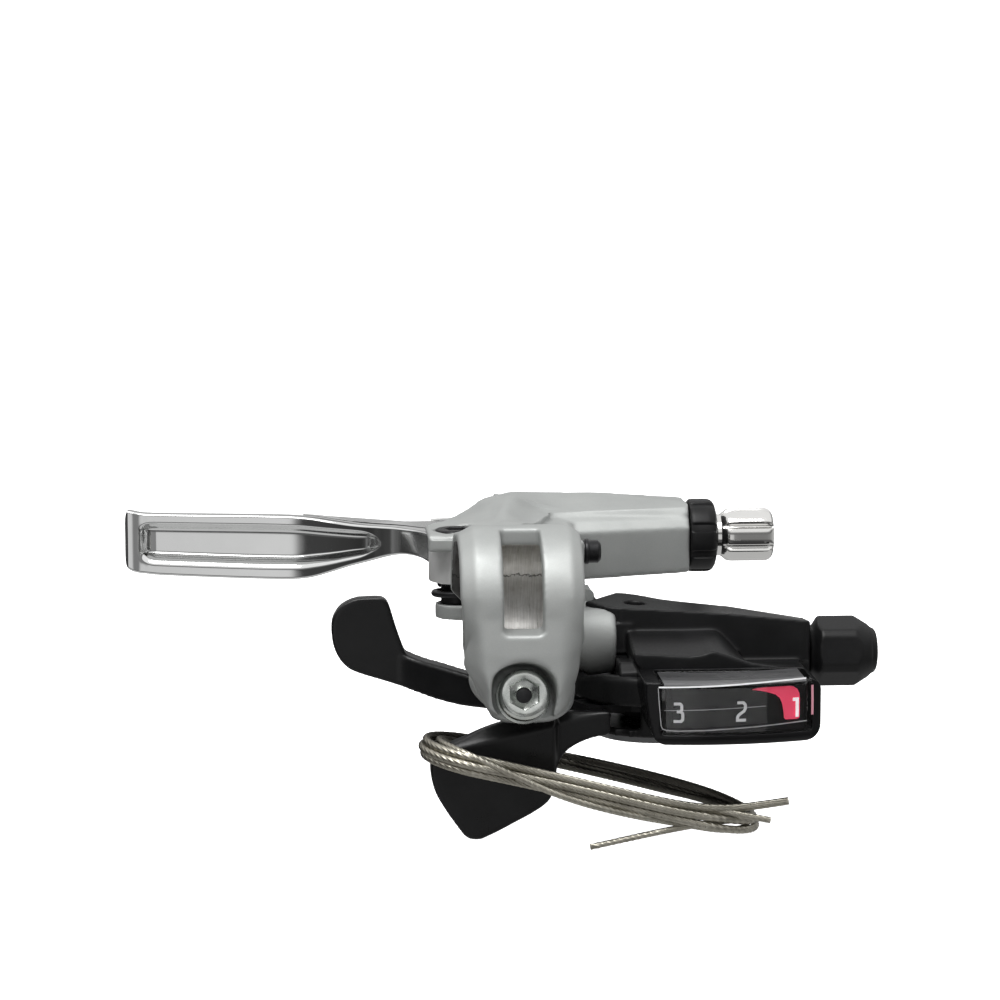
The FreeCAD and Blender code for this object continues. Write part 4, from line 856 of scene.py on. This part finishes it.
head = [(41.95, 1.35), (41.95, 3.82), (42.02, 3.95), (42.2, 4.0), (42.8, 4.0), (42.9, 4.03), (43.0, 4.12), (43.35, 4.42), (43.85, 4.84), (44.15, 5.02), (44.5, 5.12), (45.2, 5.17), (46.6, 5.17), (48.4, 5.17), (50.4, 5.17), (51.5, 5.17), (52.05, 5.10), (52.5, 4.88), (52.85, 4.52), (53.05, 4.12), (53.1, 3.8), (53.1, 3.4), (52.95, 3.1), (52.6, 3.05), (48.0, 3.05), (44.7, 3.05), (44.6, 1.35)]
rings = turned("barrel", 46.0, 5.2, head, 192, barrel_rule)
stem = [(44.5, 1.25), (25.0, 1.25), (25.0, 2.9), (25.3, 3.15)]
pitch = 0.9
x = 25.6
while x < 36.0:
    stem += [(x, 3.2), (x + pitch * 0.5, 2.85)]
    x += pitch
stem += [(36.4, 3.2), (41.95, 3.2)]
barrel = merge(loft(rings, caps=False, ring_closed=True), loft(turned("stem", 46.0, 5.2, stem, 48, lambda i, x, r, a: r), caps=False, ring_closed=True))
barrel = put("barrel_adjuster_fluted", mesh_of("barrel_adjuster_fluted", *barrel))
shade(barrel, 34)
finish_piece(barrel, "barrel", "bright_alloy", M["bright_alloy"], "brake_barrel_adjuster")


def ring_rule(i, x, r, a):
    if r < 6.0:
        return r
    k = (a * 8 / (2.0 * math.pi) + 0.22) % 1.0
    notch = step(0.60, 0.64, k) * (1.0 - step(0.90, 0.94, k))
    return r - 0.42 * notch * step(36.7, 37.0, x) * (1.0 - 0.75 * step(40.6, 41.9, x))


lock = [(36.5, 3.4), (36.5, 6.55), (36.62, 6.85), (36.85, 7.02), (37.4, 7.1), (38.6, 7.1), (39.8, 7.1), (40.4, 7.06), (40.9, 6.9), (41.3, 6.6), (41.62, 6.1), (41.82, 5.4), (41.9, 4.6), (41.9, 4.1), (41.75, 3.75), (41.4, 3.4)]
lock = put("lock_ring_notched", mesh_of("lock_ring_notched", *loft(turned("lock", 46.0, 5.2, lock, 224, ring_rule), caps=False, ring_closed=True)))
shade(lock, 40)
finish_piece(lock, "lock", "black_plastic", M["black_plastic"], "brake_lock_ring")

# ------------------------------------------------------------------ shifter mouldings
def slab(outline, y0, y1):
    """A flat piece with this outline in X and Z, between two planes across Y."""
    a = [(x, y0, z) for x, z in outline]
    c = [(x, y1, z) for x, z in outline]
    return loft([a, c])


NEAR_EDGE = [(14.0, -3.2), (16.2, -3.5), (20.3, -3.78), (30.5, -4.37), (43.2, -5.3), (55.0, -6.55), (57.0, -6.8)]
TOP_LEAN = [(14.0, 0.085), (20.3, 0.059), (30.5, 0.04), (43.2, -0.016), (55.0, -0.086)]


def top_of_housing(x, y):
    return between(NEAR_EDGE, x) + between(TOP_LEAN, x) * (min(y, 25.0) - 15.0) - 0.25 * max(0.0, y - 25.0) * step(22.0, 34.0, x) + 0.06 * max(0.0, y - 25.0) * step(34.0, 22.0, x)


def capped(outline, z0):
    """A piece with this outline whose top follows the housing's sloping top."""
    return loft([[(x, y, z0) for x, y in outline], [(x, y, top_of_housing(x, y)) for x, y in outline]])


def rim_point(outline, cx, cy, a):
    """Where a line from a middle point at angle a leaves the outline."""
    dx, dy = math.cos(a), math.sin(a)
    best = None
    for (xa, ya), (xb, yb) in zip(outline, outline[1:] + outline[:1]):
        ex, ey = xb - xa, yb - ya
        den = dx * ey - dy * ex
        if abs(den) < 1e-9:
            continue
        t = ((xa - cx) * ey - (ya - cy) * ex) / den
        u = ((xa - cx) * dy - (ya - cy) * dx) / den
        if t > 0 and -1e-6 <= u <= 1.000001 and (best is None or t < best):
            best = t
    return cx + dx * best, cy + dy * best


housing = put("shifter_housing_moulded", kept_between("shifter_housing", ((0, 0, -12.2), (0.0, 0.0, 1.0)), ((41.8, 0, 0), (1.0, 0.0, 0.0))))
tunnel = put("tmp_tunnel", kept_between("shifter_housing", ((0, 0, -13.9), (0.0, 0.0, 1.0)), ((41.6, 0, 0), (-1.0, 0.0, 0.0))))
# the top: a long sloping face that comes to a point over the bracket's boss, with a round hole down to a screw
UPPER = [(14.0, 18.5), (16.2, 16.8), (18.2, 15.7), (20.3, 15.0), (30.5, 15.0), (43.4, 15.0), (43.4, 28.0), (30.0, 28.6), (20.6, 28.6)]
HX, HY, HR = 23.5, 20.6, 1.95
corner = [math.atan2(y - HY, x - HX) for x, y in UPPER]
angles = sorted([2.0 * math.pi * k / 72 - math.pi for k in range(72)] + corner)
rings = []
for part, level in ((1.0, "low"), (1.0, "top"), (0.66, "top"), (0.33, "top"), (0.0, "top"), (0.0, "low")):
    ring = []
    for a in angles:
        ex, ey = rim_point(UPPER, HX, HY, a)
        ix, iy = HX + HR * math.cos(a), HY + HR * math.sin(a)
        x, y = lerp(ix, ex, part), lerp(iy, ey, part)
        ring.append((x, y, top_of_housing(x, y) if level == "top" else between([(16.0, -4.0), (17.5, -6.9)], x)))
    rings.append(ring)
upper = put("tmp_upper", mesh_of("tmp_upper", *loft(rings, caps=False, ring_closed=True)))
under = put("tmp_under", mesh_of("tmp_under", *block([(19.0, 14.7), (22.6, 14.7), (22.7, 15.0), (43.2, 15.0), (43.2, 28.2), (20.6, 28.5), (19.0, 27.4)], -12.4, -6.7)))
right = put("tmp_right", mesh_of("tmp_right", *capped([(41.0, 15.0), (48.0, 15.0), (55.0, 15.0), (55.9, 15.4), (56.3, 16.6), (56.3, 21.0), (56.3, 25.0), (55.6, 26.8), (52.0, 28.0), (43.2, 28.2), (41.0, 28.2), (41.0, 25.0)], -14.2)))
# the shelf in front of it, with its nose and the wall down to the gear window
SHELF_BACK = [(38.2, -8.0), (39.3, -8.8), (40.6, -10.3), (42.2, -12.2)]
SHELF_EDGE = [(21.4, -10.2), (27.0, -10.6), (32.0, -10.95), (34.4, -10.6), (36.2, -9.95), (39.0, -10.8), (43.2, -12.2), (48.1, -13.0), (52.0, -13.4)]
rings = []
for k in range(43):
    x = 21.5 + k * 0.5
    zb, zf = between(SHELF_BACK, x), between(SHELF_EDGE, x)
    foot = between([(21.5, -11.2), (22.9, -13.6), (24.5, -17.2)], x)
    rings.append([(x, 3.0, foot), (x, 3.0, zf), (x, 9.0, lerp(zf, zb, 0.5)), (x, 15.6, zb), (x, 15.6, -12.4), (x, 8.0, -12.4), (x, 8.0, foot - 0.2)])
shelf = put("tmp_shelf", mesh_of("tmp_shelf", *loft(rings)))
rings = []
for k in range(21):
    x = 41.5 + k * 0.53
    zf = between(SHELF_EDGE, x)
    rings.append([(x, 3.0, -17.2), (x, 3.0, zf), (x, 5.0, zf - 0.1), (x, 9.0, min(zf - 0.5, -13.5)), (x, 9.0, -17.2)])
lip = put("tmp_lip", mesh_of("tmp_lip", *loft(rings)))
join_into(housing, tunnel, upper, under, right, shelf, lip)
soften(housing, 0.32, 3)
finish_piece(housing, "bracket", "black_plastic", M["black_plastic"], "shifter_housing")

cover = put("base_cover_moulded", copy_of("shifter_base_cover"))
SX, SY = 26.5, 15.5
skirt = []
for k in range(17):
    a = math.radians(164.0 + 100.0 * k / 16.0)
    c, q = math.cos(a), math.sin(a)
    rise = -15.7 + 1.2 * step(195.0, 228.0, math.degrees(a))
    skirt.append([(SX + r * c, SY + r * q, z) for r, z in ((12.9, -19.8), (15.0, -19.8), (15.1, rise - 0.8), (14.6, rise), (12.9, rise + 0.1))])
skirt = put("tmp_skirt", mesh_of("tmp_skirt", *loft(skirt)))
join_into(cover, skirt)
soften(cover, 0.36, 3)
finish_piece(cover, "bracket", "black_plastic", M["black_plastic"], "shifter_base_cover")

adjuster = put("shift_adjuster_moulded", copy_of("shift_barrel_adjuster"))
soften(adjuster, 0.26, 4)
finish_piece(adjuster, "adjuster", "black_plastic", M["black_plastic"], "shift_barrel_adjuster")

# the thumb lever: a paddle on the near side with a sloping head, and the arm that runs in to the axle, set back from the paddle's face
thumb_outline = round_line([(-9.7, -25.5), (-6.4, -24.0), (-2.7, -22.75), (1.4, -21.95), (4.8, -21.4), (8.6, -21.0), (13.0, -20.9), (17.0, -20.9), (17.2, -22.6), (17.0, -24.9), (14.2, -25.6), (12.4, -26.2), (10.7, -27.0), (9.4, -27.9), (8.4, -29.0), (7.6, -30.5), (7.2, -32.3), (6.8, -34.6), (5.8, -37.0), (3.2, -39.0), (-1.4, -41.5), (-5.4, -43.5), (-7.3, -44.15), (-9.4, -43.6), (-11.2, -41.4), (-13.2, -38.5), (-15.0, -35.3), (-15.8, -32.2), (-15.7, -29.4), (-13.9, -27.4), (-11.8, -26.3)], 5)
thumb = put("thumb_lever_moulded", kept("thumb_lever", (13.0, 0, 0), (-1.0, 0.0, 0.0)))
paddle = put("tmp_paddle", mesh_of("tmp_paddle", *slab(thumb_outline, 0.6, 5.2)))
join_into(thumb, paddle)
soften(thumb, 0.34, 4)


def thumb_shape(x, y, z):
    if x > 13.6 and y > 5.0:
        return x, y, z
    near = step(4.6, 1.2, y)
    crease = -26.8 + (x + 8.9) * 0.217
    slope = 2.5 * step(crease, crease + 2.9, z) * (1.0 - 0.35 * step(6.0, 8.0, x))
    return x, y + near * (slope + 1.5 * step(6.7, 7.7, x)), z


moved(thumb, thumb_shape)
finish_piece(thumb, "thumb", "black_plastic", M["lever_black"], "thumb_lever")

trigger = put("trigger_moulded", kept("release_lever", (-4.0, 0, 0), (-1.0, 0.0, 0.0)))
trig_outline = round_line([(-33.1, -10.4), (-32.6, -8.3), (-31.1, -6.4), (-28.8, -5.25), (-26.2, -4.95), (-23.8, -4.95), (-22.6, -5.5), (-21.9, -6.8), (-21.3, -8.8), (-20.6, -11.1), (-19.6, -14.0), (-18.8, -16.0), (-18.2, -17.6), (-18.0, -19.8), (-18.4, -22.3), (-20.0, -22.15), (-22.5, -21.3), (-28.0, -19.55), (-30.4, -18.2), (-32.0, -16.1), (-32.9, -13.5)], 5)
pad = put("tmp_pad", mesh_of("tmp_pad", *slab(trig_outline, 36.6, 40.0)))
# the arm from the paddle to the axle: near and far side in plan, low and high edge
ARM = [
    (-23.0, 36.6, -22.0, 40.0, -21.2, -16.4),
    (-20.4, 36.6, -19.2, 39.8, -22.0, -15.6),
    (-18.4, 36.0, -17.0, 39.2, -22.75, -16.3),
    (-16.4, 34.8, -14.8, 37.8, -23.3, -16.9),
    (-13.6, 32.7, -12.0, 35.9, -24.0, -17.4),
    (-9.0, 29.6, -7.6, 32.8, -24.7, -18.3),
    (-3.5, 26.4, -2.0, 29.9, -24.9, -19.4),
    (2.0, 23.2, 3.6, 27.0, -24.7, -20.5),
]
rings = [[(xa, ya, z0), (xa, ya, z1 - 0.5), (lerp(xa, xb, 0.16), lerp(ya, yb, 0.16), z1), (xb, yb, z1), (xb, yb, z0)] for xa, ya, xb, yb, z0, z1 in rows_at(ARM, 29)]
link = put("tmp_link", mesh_of("tmp_link", *loft(rings)))
join_into(trigger, pad, link)
soften(trigger, 0.32, 3)
finish_piece(trigger, "release", "black_plastic", M["lever_black"], "release_lever")

# ------------------------------------------------------------------ gear indicator
AX0, AY0 = 34.3, 41.0


def on_arc(x, z, r):
    """The point at that X and height on the indicator's curved face of radius r."""
    d = x - AX0
    return (x, AY0 - math.sqrt(r * r - d * d), z)


frame_ob = put("indicator_bezel", copy_of("indicator_frame"))
soften(frame_ob, 0.27, 4)


def rounded_corners(x, y, z):
    for xc, zc, r, sx, sz in ((26.4, -21.2, 3.2, -1, -1), (51.0, -21.0, 3.4, 1, -1), (52.2, -15.1, 2.2, 1, 1)):
        dx, dz = (x - xc) * sx, (z - zc) * sz
        if dx > 0 and dz > 0:
            d = math.hypot(dx, dz)
            if d > r:
                x, z = xc + sx * dx * r / d, zc + sz * dz * r / d
    return x, y, z


moved(frame_ob, rounded_corners)
finish_piece(frame_ob, "bracket", "gloss_black", M["gloss_black"], "indicator_frame")


def plate_on_arc(outline, r0, r1):
    """A thin plate bent to the arc: outline in X and Z, between two radii."""
    a = [on_arc(x, z, r1) for x, z in outline]
    c = [on_arc(x, z, r0) for x, z in outline]
    return loft([a, c])


hook = [(41.5, -14.5), (42.6, -14.27), (44.4, -14.17), (46.3, -14.15), (48.2, -14.17), (49.2, -14.32), (49.95, -14.85), (50.3, -15.6), (50.4, -16.6), (50.4, -18.4), (50.4, -20.0), (50.15, -20.22), (49.6, -20.3), (47.75, -20.25), (47.5, -20.05), (47.35, -18.6), (47.1, -17.3), (46.65, -16.3), (45.8, -15.55), (44.1, -14.98), (42.4, -14.62)]
pointer = put("pointer_hook", mesh_of("pointer_hook", *plate_on_arc(hook, 51.7, 52.2)))
shade(pointer, 30)
finish_piece(pointer, "pointer", "pointer_red", M["pointer_red"], "gear_pointer")


def stroke(points, width, x0, z0, scale, r0=52.34, r1=52.40):
    """A figure drawn as one flat stroke on the arc, its corners mitred."""
    left, right = [], []
    n = len(points)
    for i, (u, v) in enumerate(points):
        if i:
            d0 = (u - points[i - 1][0], v - points[i - 1][1])
        if i < n - 1:
            d1 = (points[i + 1][0] - u, points[i + 1][1] - v)
        if i == 0:
            d0 = d1
        if i == n - 1:
            d1 = d0
        l0, l1 = math.hypot(*d0), math.hypot(*d1)
        n0, n1 = (-d0[1] / l0, d0[0] / l0), (-d1[1] / l1, d1[0] / l1)
        mx, mz = n0[0] + n1[0], n0[1] + n1[1]
        k = mx * mx + mz * mz
        mx, mz = 2 * mx / k, 2 * mz / k
        h = width * 0.5 / scale
        left.append((x0 + (u + mx * h) * scale, z0 + (v + mz * h) * scale))
        right.append((x0 + (u - mx * h) * scale, z0 + (v - mz * h) * scale))
    rings = []
    for l, r in zip(left, right):
        rings.append([on_arc(l[0], l[1], r1), on_arc(r[0], r[1], r1), on_arc(r[0], r[1], r0), on_arc(l[0], l[1], r0)])
    return loft(rings)


three = [(-0.36, 0.5), (0.10, 0.5), (0.22, 0.42), (0.22, 0.14), (0.12, 0.04), (-0.14, 0.04), (0.20, 0.04), (0.32, -0.06), (0.32, -0.40), (0.20, -0.5), (-0.36, -0.5)]
three_a = [(-0.34, 0.5), (0.14, 0.5), (0.25, 0.40), (0.25, 0.16), (0.13, 0.05), (-0.12, 0.05)]
three_b = [(0.05, 0.05), (0.20, 0.05), (0.33, -0.06), (0.33, -0.39), (0.21, -0.5), (-0.36, -0.5)]
two = [(-0.32, 0.5), (0.16, 0.5), (0.30, 0.38), (0.30, 0.16), (0.20, 0.02), (-0.20, -0.20), (-0.30, -0.33), (-0.30, -0.5), (0.36, -0.5)]
one_ = [(-0.16, 0.44), (0.08, 0.44), (0.08, -0.5)]
H3 = 3.2


def narrow(points):
    return [(u * 0.74, v) for u, v in points]


figs = merge(stroke(narrow(three_a), 0.52, 28.15, -18.45, H3), stroke(narrow(three_b), 0.52, 28.15, -18.45, H3), stroke(narrow(two), 0.52, 39.5, -18.35, H3))
figures = put("dial_figures", mesh_of("dial_figures", *figs))
finish_piece(figures, "bracket", "dial_black", M["print_grey"])
figure1 = put("dial_figure_one", mesh_of("dial_figure_one", *stroke(one_, 0.60, 49.6, -18.15, 3.45)))
finish_piece(figure1, "bracket", "dial_black", M["print_white"])

# painted highlights where the window's edge catches light: strong along its top, faint elsewhere, tinted at the
# pointer's end; and a faint painted glint across the dial
def highlight_line(points, width, r0=53.80, r1=54.02):
    return stroke([(x, z) for x, z in points], width, 0.0, 0.0, 1.0, r0, r1)


edge_highlight_top = put("window_edge_highlight_top", mesh_of("window_edge_highlight_top", *highlight_line([(24.45, -13.62), (27.0, -13.58), (30.0, -13.5), (33.0, -13.42), (36.0, -13.3), (39.0, -13.15), (42.3, -12.98), (45.0, -12.84), (48.0, -12.72), (51.4, -12.62)], 0.24)))
edge_highlight_side = put("window_edge_highlight_side", mesh_of("window_edge_highlight_side", *highlight_line([(24.35, -13.75), (24.5, -16.0), (24.7, -18.4), (24.9, -20.6), (25.15, -21.2), (25.9, -21.5), (28.0, -21.55), (33.0, -21.45), (38.0, -21.2), (42.4, -20.98), (47.0, -20.7), (51.6, -20.45)], 0.15)))
edge_highlight_end = put("window_edge_highlight_end", mesh_of("window_edge_highlight_end", *highlight_line([(52.62, -14.0), (52.68, -16.6), (52.68, -19.4)], 0.42)))
glint = put("window_glint", mesh_of("window_glint", *highlight_line([(25.6, -18.1), (29.0, -18.05), (33.0, -17.95), (37.0, -17.8), (41.0, -17.65), (44.0, -17.55)], 0.11, 52.30, 52.33)))
lens_top = max(v.co.z for v in NODES["indicator_lens"].data.vertices) / MM
LENS_TOP_LOW = [(25.2, -13.50), (30.0, -13.38), (36.0, -13.18), (42.3, -12.98), (51.9, -12.98)]


# painted reflection: grey strips over the top of the clear window stand in for the light the top reflects; the far one
# is a fainter haze, the near one a brighter sheen
def lens_top_strip(name, inner, outer, drop):
    rings = []
    for k in range(31):
        x = 25.4 + 0.87 * k
        low = min(lens_top, between(LENS_TOP_LOW, x))
        line = [(inner, lens_top + 0.03), (0.5 * (inner + outer), lens_top + 0.03), (outer, lens_top + 0.03)]
        if drop:
            line = line + [(53.5, lens_top + 0.0), (53.78, lens_top - 0.16), (53.86, min(low, lens_top - 0.2))]
        back = [(r - 0.02, z - 0.02) for r, z in reversed(line)]
        rings.append([(x, AY0 - math.sqrt(r * r - (x - AX0) ** 2), z) for r, z in line + back])
    return put(name, mesh_of(name, *loft(rings)))


haze = lens_top_strip("window_top_painted_reflection", 42.8, 50.4, False)
sheen = lens_top_strip("window_top_sheen", 50.4, 53.1, True)
finish_piece(haze, "bracket", "clear_lens", M["window_top_reflection"])
finish_piece(sheen, "bracket", "clear_lens", M["window_sheen"])
finish_piece(edge_highlight_top, "bracket", "clear_lens", M["edge_highlight_strong"])
finish_piece(edge_highlight_side, "bracket", "clear_lens", M["edge_highlight_faint"])
finish_piece(edge_highlight_end, "bracket", "clear_lens", M["edge_highlight_pink"])
finish_piece(glint, "bracket", "dial_black", M["edge_highlight_faint"])

# ------------------------------------------------------------------ clamp screw: a flanged head with a six-sided socket that runs down to a round hole
AXIS = Vector((0.0, -0.951057, 0.309017))
ACROSS = Vector((1.0, 0.0, 0.0))
UPWARD = Vector((0.0, 0.309017, 0.951057))
CENTRE = UPWARD * -18.3 + Vector((0.25, 0.0, 0.72))
along = [Vector(v.co).dot(AXIS) / MM for v in NODES["clamp_bolt"].data.vertices]
top, low = max(along), min(along)
seat = top - 3.1


def six(a, r):
    """The radius of a six-sided hole with a corner downwards."""
    return r * math.cos(math.radians(30.0)) / math.cos(math.radians((math.degrees(a) + 90.0) % 60.0 - 30.0))


SCREW = [
    (0.0, low + 0.3, 0), (1.9, low + 0.3, 0), (2.2, low + 0.7, 0), (2.2, seat, 0), (4.45, seat, 0), (4.6, seat + 0.15, 0), (4.6, top - 0.75, 0), (4.52, top - 0.5, 0), (4.15, top - 0.1, 0), (3.95, top - 0.02, 0), (3.45, top, 0),
    (3.08, top - 0.04, 1), (2.98, top - 0.16, 1), (2.94, top - 1.05, 1), (2.86, top - 1.2, 1), (1.62, top - 1.75, 0), (1.46, top - 1.9, 0), (1.42, top - 2.9, 0), (0.0, top - 2.9, 0),
]
rings = []
for r, h, kind in SCREW:
    ring = []
    for k in range(96):
        a = 2.0 * math.pi * k / 96
        rr = six(a, r) if kind else r
        q = CENTRE + AXIS * h + ACROSS * (max(rr, 0.01) * math.cos(a)) + UPWARD * (max(rr, 0.01) * math.sin(a))
        ring.append((q.x, q.y, q.z))
    rings.append(ring)
screw = put("clamp_screw_socket", mesh_of("clamp_screw_socket", *loft(rings)))
shade(screw, 28)
finish_piece(screw, "bracket", "zinc_steel", M["zinc_steel"], "clamp_bolt")
# painted shade: a black disc at the bottom of the socket's round hole stands in for the shadow down in the hole
rings = []
for r, h in ((0.02, top - 2.75), (1.40, top - 2.75), (1.40, top - 2.0), (1.3, top - 1.95), (0.02, top - 1.95)):
    rings.append([tuple(CENTRE + AXIS * h + ACROSS * (r * math.cos(2 * math.pi * k / 48)) + UPWARD * (r * math.sin(2 * math.pi * k / 48))) for k in range(48)])
socket_shade_disc = put("clamp_screw_socket_shade", mesh_of("clamp_screw_socket_shade", *loft(rings)))
shade(socket_shade_disc, 30)
finish_piece(socket_shade_disc, "bracket", "black_steel", M["black_steel"])

# ------------------------------------------------------------------ small metal pieces with broken edges
for node, body, width in (("clamp_washer", "bracket", 0.15), ("clamp_nut", "bracket", 0.25), ("lever_pivot_bolt", "bracket", 0.2), ("reach_screw", "reach", 0.2), ("shifter_fixing_bolt", "bracket", 0.2), ("axle_nut", "bracket", 0.2)):
    ob = bevelled(node, width)
    if node == "lever_pivot_bolt":
        moved(ob, lambda x, y, z: (x, y, z - 0.5 * step(8.0, 9.2, z)))
    if node == "clamp_washer":
        moved(ob, lambda x, y, z: (x + 0.25, y, z + 0.72))
    if node == "clamp_nut":
        moved(ob, lambda x, y, z: (x + 0.25, y, z + 2.0))
    finish_piece(ob, body, SLOT[node], M["dark_plate" if node in DARK else SLOT[node]], node)

# ------------------------------------------------------------------ floor, light
floor_z = cad_lo[2] - 0.0012
me = bpy.data.meshes.new("floor")
me.from_pydata([(-60, -20, floor_z), (60, -20, floor_z), (60, 40, floor_z), (-60, 40, floor_z), (60, 80, 16.0), (-60, 80, 16.0)], [], [(0, 1, 2, 3), (3, 2, 4, 5)])
floor = put("floor", me)
fm, nt, b = nodes_of("floor_white")
nt.links.new(blend_colour(nt, spread(nt, grain(nt, 14.0, 3.0), 0.0, 1.0), (0.93, 0.93, 0.93), (0.95, 0.95, 0.95)), b.inputs["Base Color"])
b.inputs["Roughness"].default_value = 0.9
b.inputs["Specular IOR Level"].default_value = 0.1
b.inputs["Emission Color"].default_value = (1.0, 1.0, 1.0, 1.0)
b.inputs["Emission Strength"].default_value = 1.0
floor.data.materials.append(fm)
floor.visible_glossy = False
floor.visible_diffuse = False
floor.visible_transmission = False

world = bpy.data.worlds.new("studio")
SCENE.world = world
world.use_nodes = True
nt = world.node_tree
for n in list(nt.nodes):
    nt.nodes.remove(n)
out = nt.nodes.new("ShaderNodeOutputWorld")
bg = nt.nodes.new("ShaderNodeBackground")
tc = nt.nodes.new("ShaderNodeTexCoord")
sep = nt.nodes.new("ShaderNodeSeparateXYZ")
nt.links.new(tc.outputs["Generated"], sep.inputs[0])


def ramp_of(value, stops):
    """A tone that changes smoothly from stop to stop."""
    r = nt.nodes.new("ShaderNodeValToRGB")
    r.color_ramp.interpolation = "EASE"
    els = r.color_ramp.elements
    while len(els) > 1:
        els.remove(els[-1])
    els[0].position = stops[0][0]
    els[0].color = (stops[0][1],) * 3 + (1.0,)
    for p, v in stops[1:]:
        els.new(p).color = (v, v, v, 1.0)
    nt.links.new(value, r.inputs["Fac"])
    return r.outputs["Color"]


# round the bench: back, right, front, left, back, as fractions of a turn
azim = calc(nt, "ADD", calc(nt, "DIVIDE", calc(nt, "ARCTAN2", calc(nt, "MULTIPLY", sep.outputs[0], -1.0), calc(nt, "MULTIPLY", sep.outputs[1], -1.0)), 2.0 * math.pi), 0.5)
band = ramp_of(azim, [(0.0, 0.55), (0.20, 0.50), (0.30, 0.34), (0.40, 0.24), (0.485, 0.20), (0.512, 0.60), (0.563, 0.66), (0.588, 0.05), (0.70, 0.03), (0.735, 0.05), (0.76, 0.15), (0.785, 0.10), (0.80, 0.03), (0.935, 0.04), (0.975, 0.45), (1.0, 0.55)])
# up the wall: below the bench, a dark edge, the band, a dark edge, the ceiling
rise = calc(nt, "MULTIPLY_ADD", sep.outputs[2], 0.5)
rise.node.inputs[2].default_value = 0.5
below = ramp_of(rise, [(0.0, 0.50), (0.24, 0.50), (0.27, 0.10), (0.33, 0.10), (0.37, 0.0), (1.0, 0.0)])
above = ramp_of(rise, [(0.0, 0.0), (0.575, 0.0), (0.605, 0.16), (0.665, 0.20), (0.715, 0.84), (1.0, 0.88)])
inside = ramp_of(rise, [(0.0, 0.0), (0.33, 0.0), (0.37, 1.0), (0.575, 1.0), (0.605, 0.0), (1.0, 0.0)])
sky = calc(nt, "ADD", calc(nt, "MULTIPLY", band, inside), calc(nt, "ADD", below, above))
nt.links.new(sky, bg.inputs["Strength"])
bg.inputs["Color"].default_value = (1.0, 1.0, 1.0, 1.0)
nt.links.new(bg.outputs[0], out.inputs[0])


def area(name, place_mm, aim_mm, size, watts):
    l = bpy.data.lights.new(name, "AREA")
    l.shape = "RECTANGLE"
    l.size, l.size_y = size
    l.energy = watts
    o = bpy.data.objects.new(name, l)
    o.location = V3(*place_mm)
    o.rotation_euler = (V3(*aim_mm) - V3(*place_mm)).to_track_quat("-Z", "Y").to_euler()
    SCENE.collection.objects.link(o)
    return o


area("key", (-120.0, -260.0, 640.0), (0.0, 15.0, -10.0), (0.5, 0.4), 4.0)
fill = area("fill", (90.0, -420.0, -110.0), (15.0, 5.0, -10.0), (0.35, 0.3), 0.45)
fill.visible_glossy = False

SCENE.view_settings.view_transform = "Standard"
SCENE.view_settings.look = "None"
SCENE.view_settings.exposure = 0.0
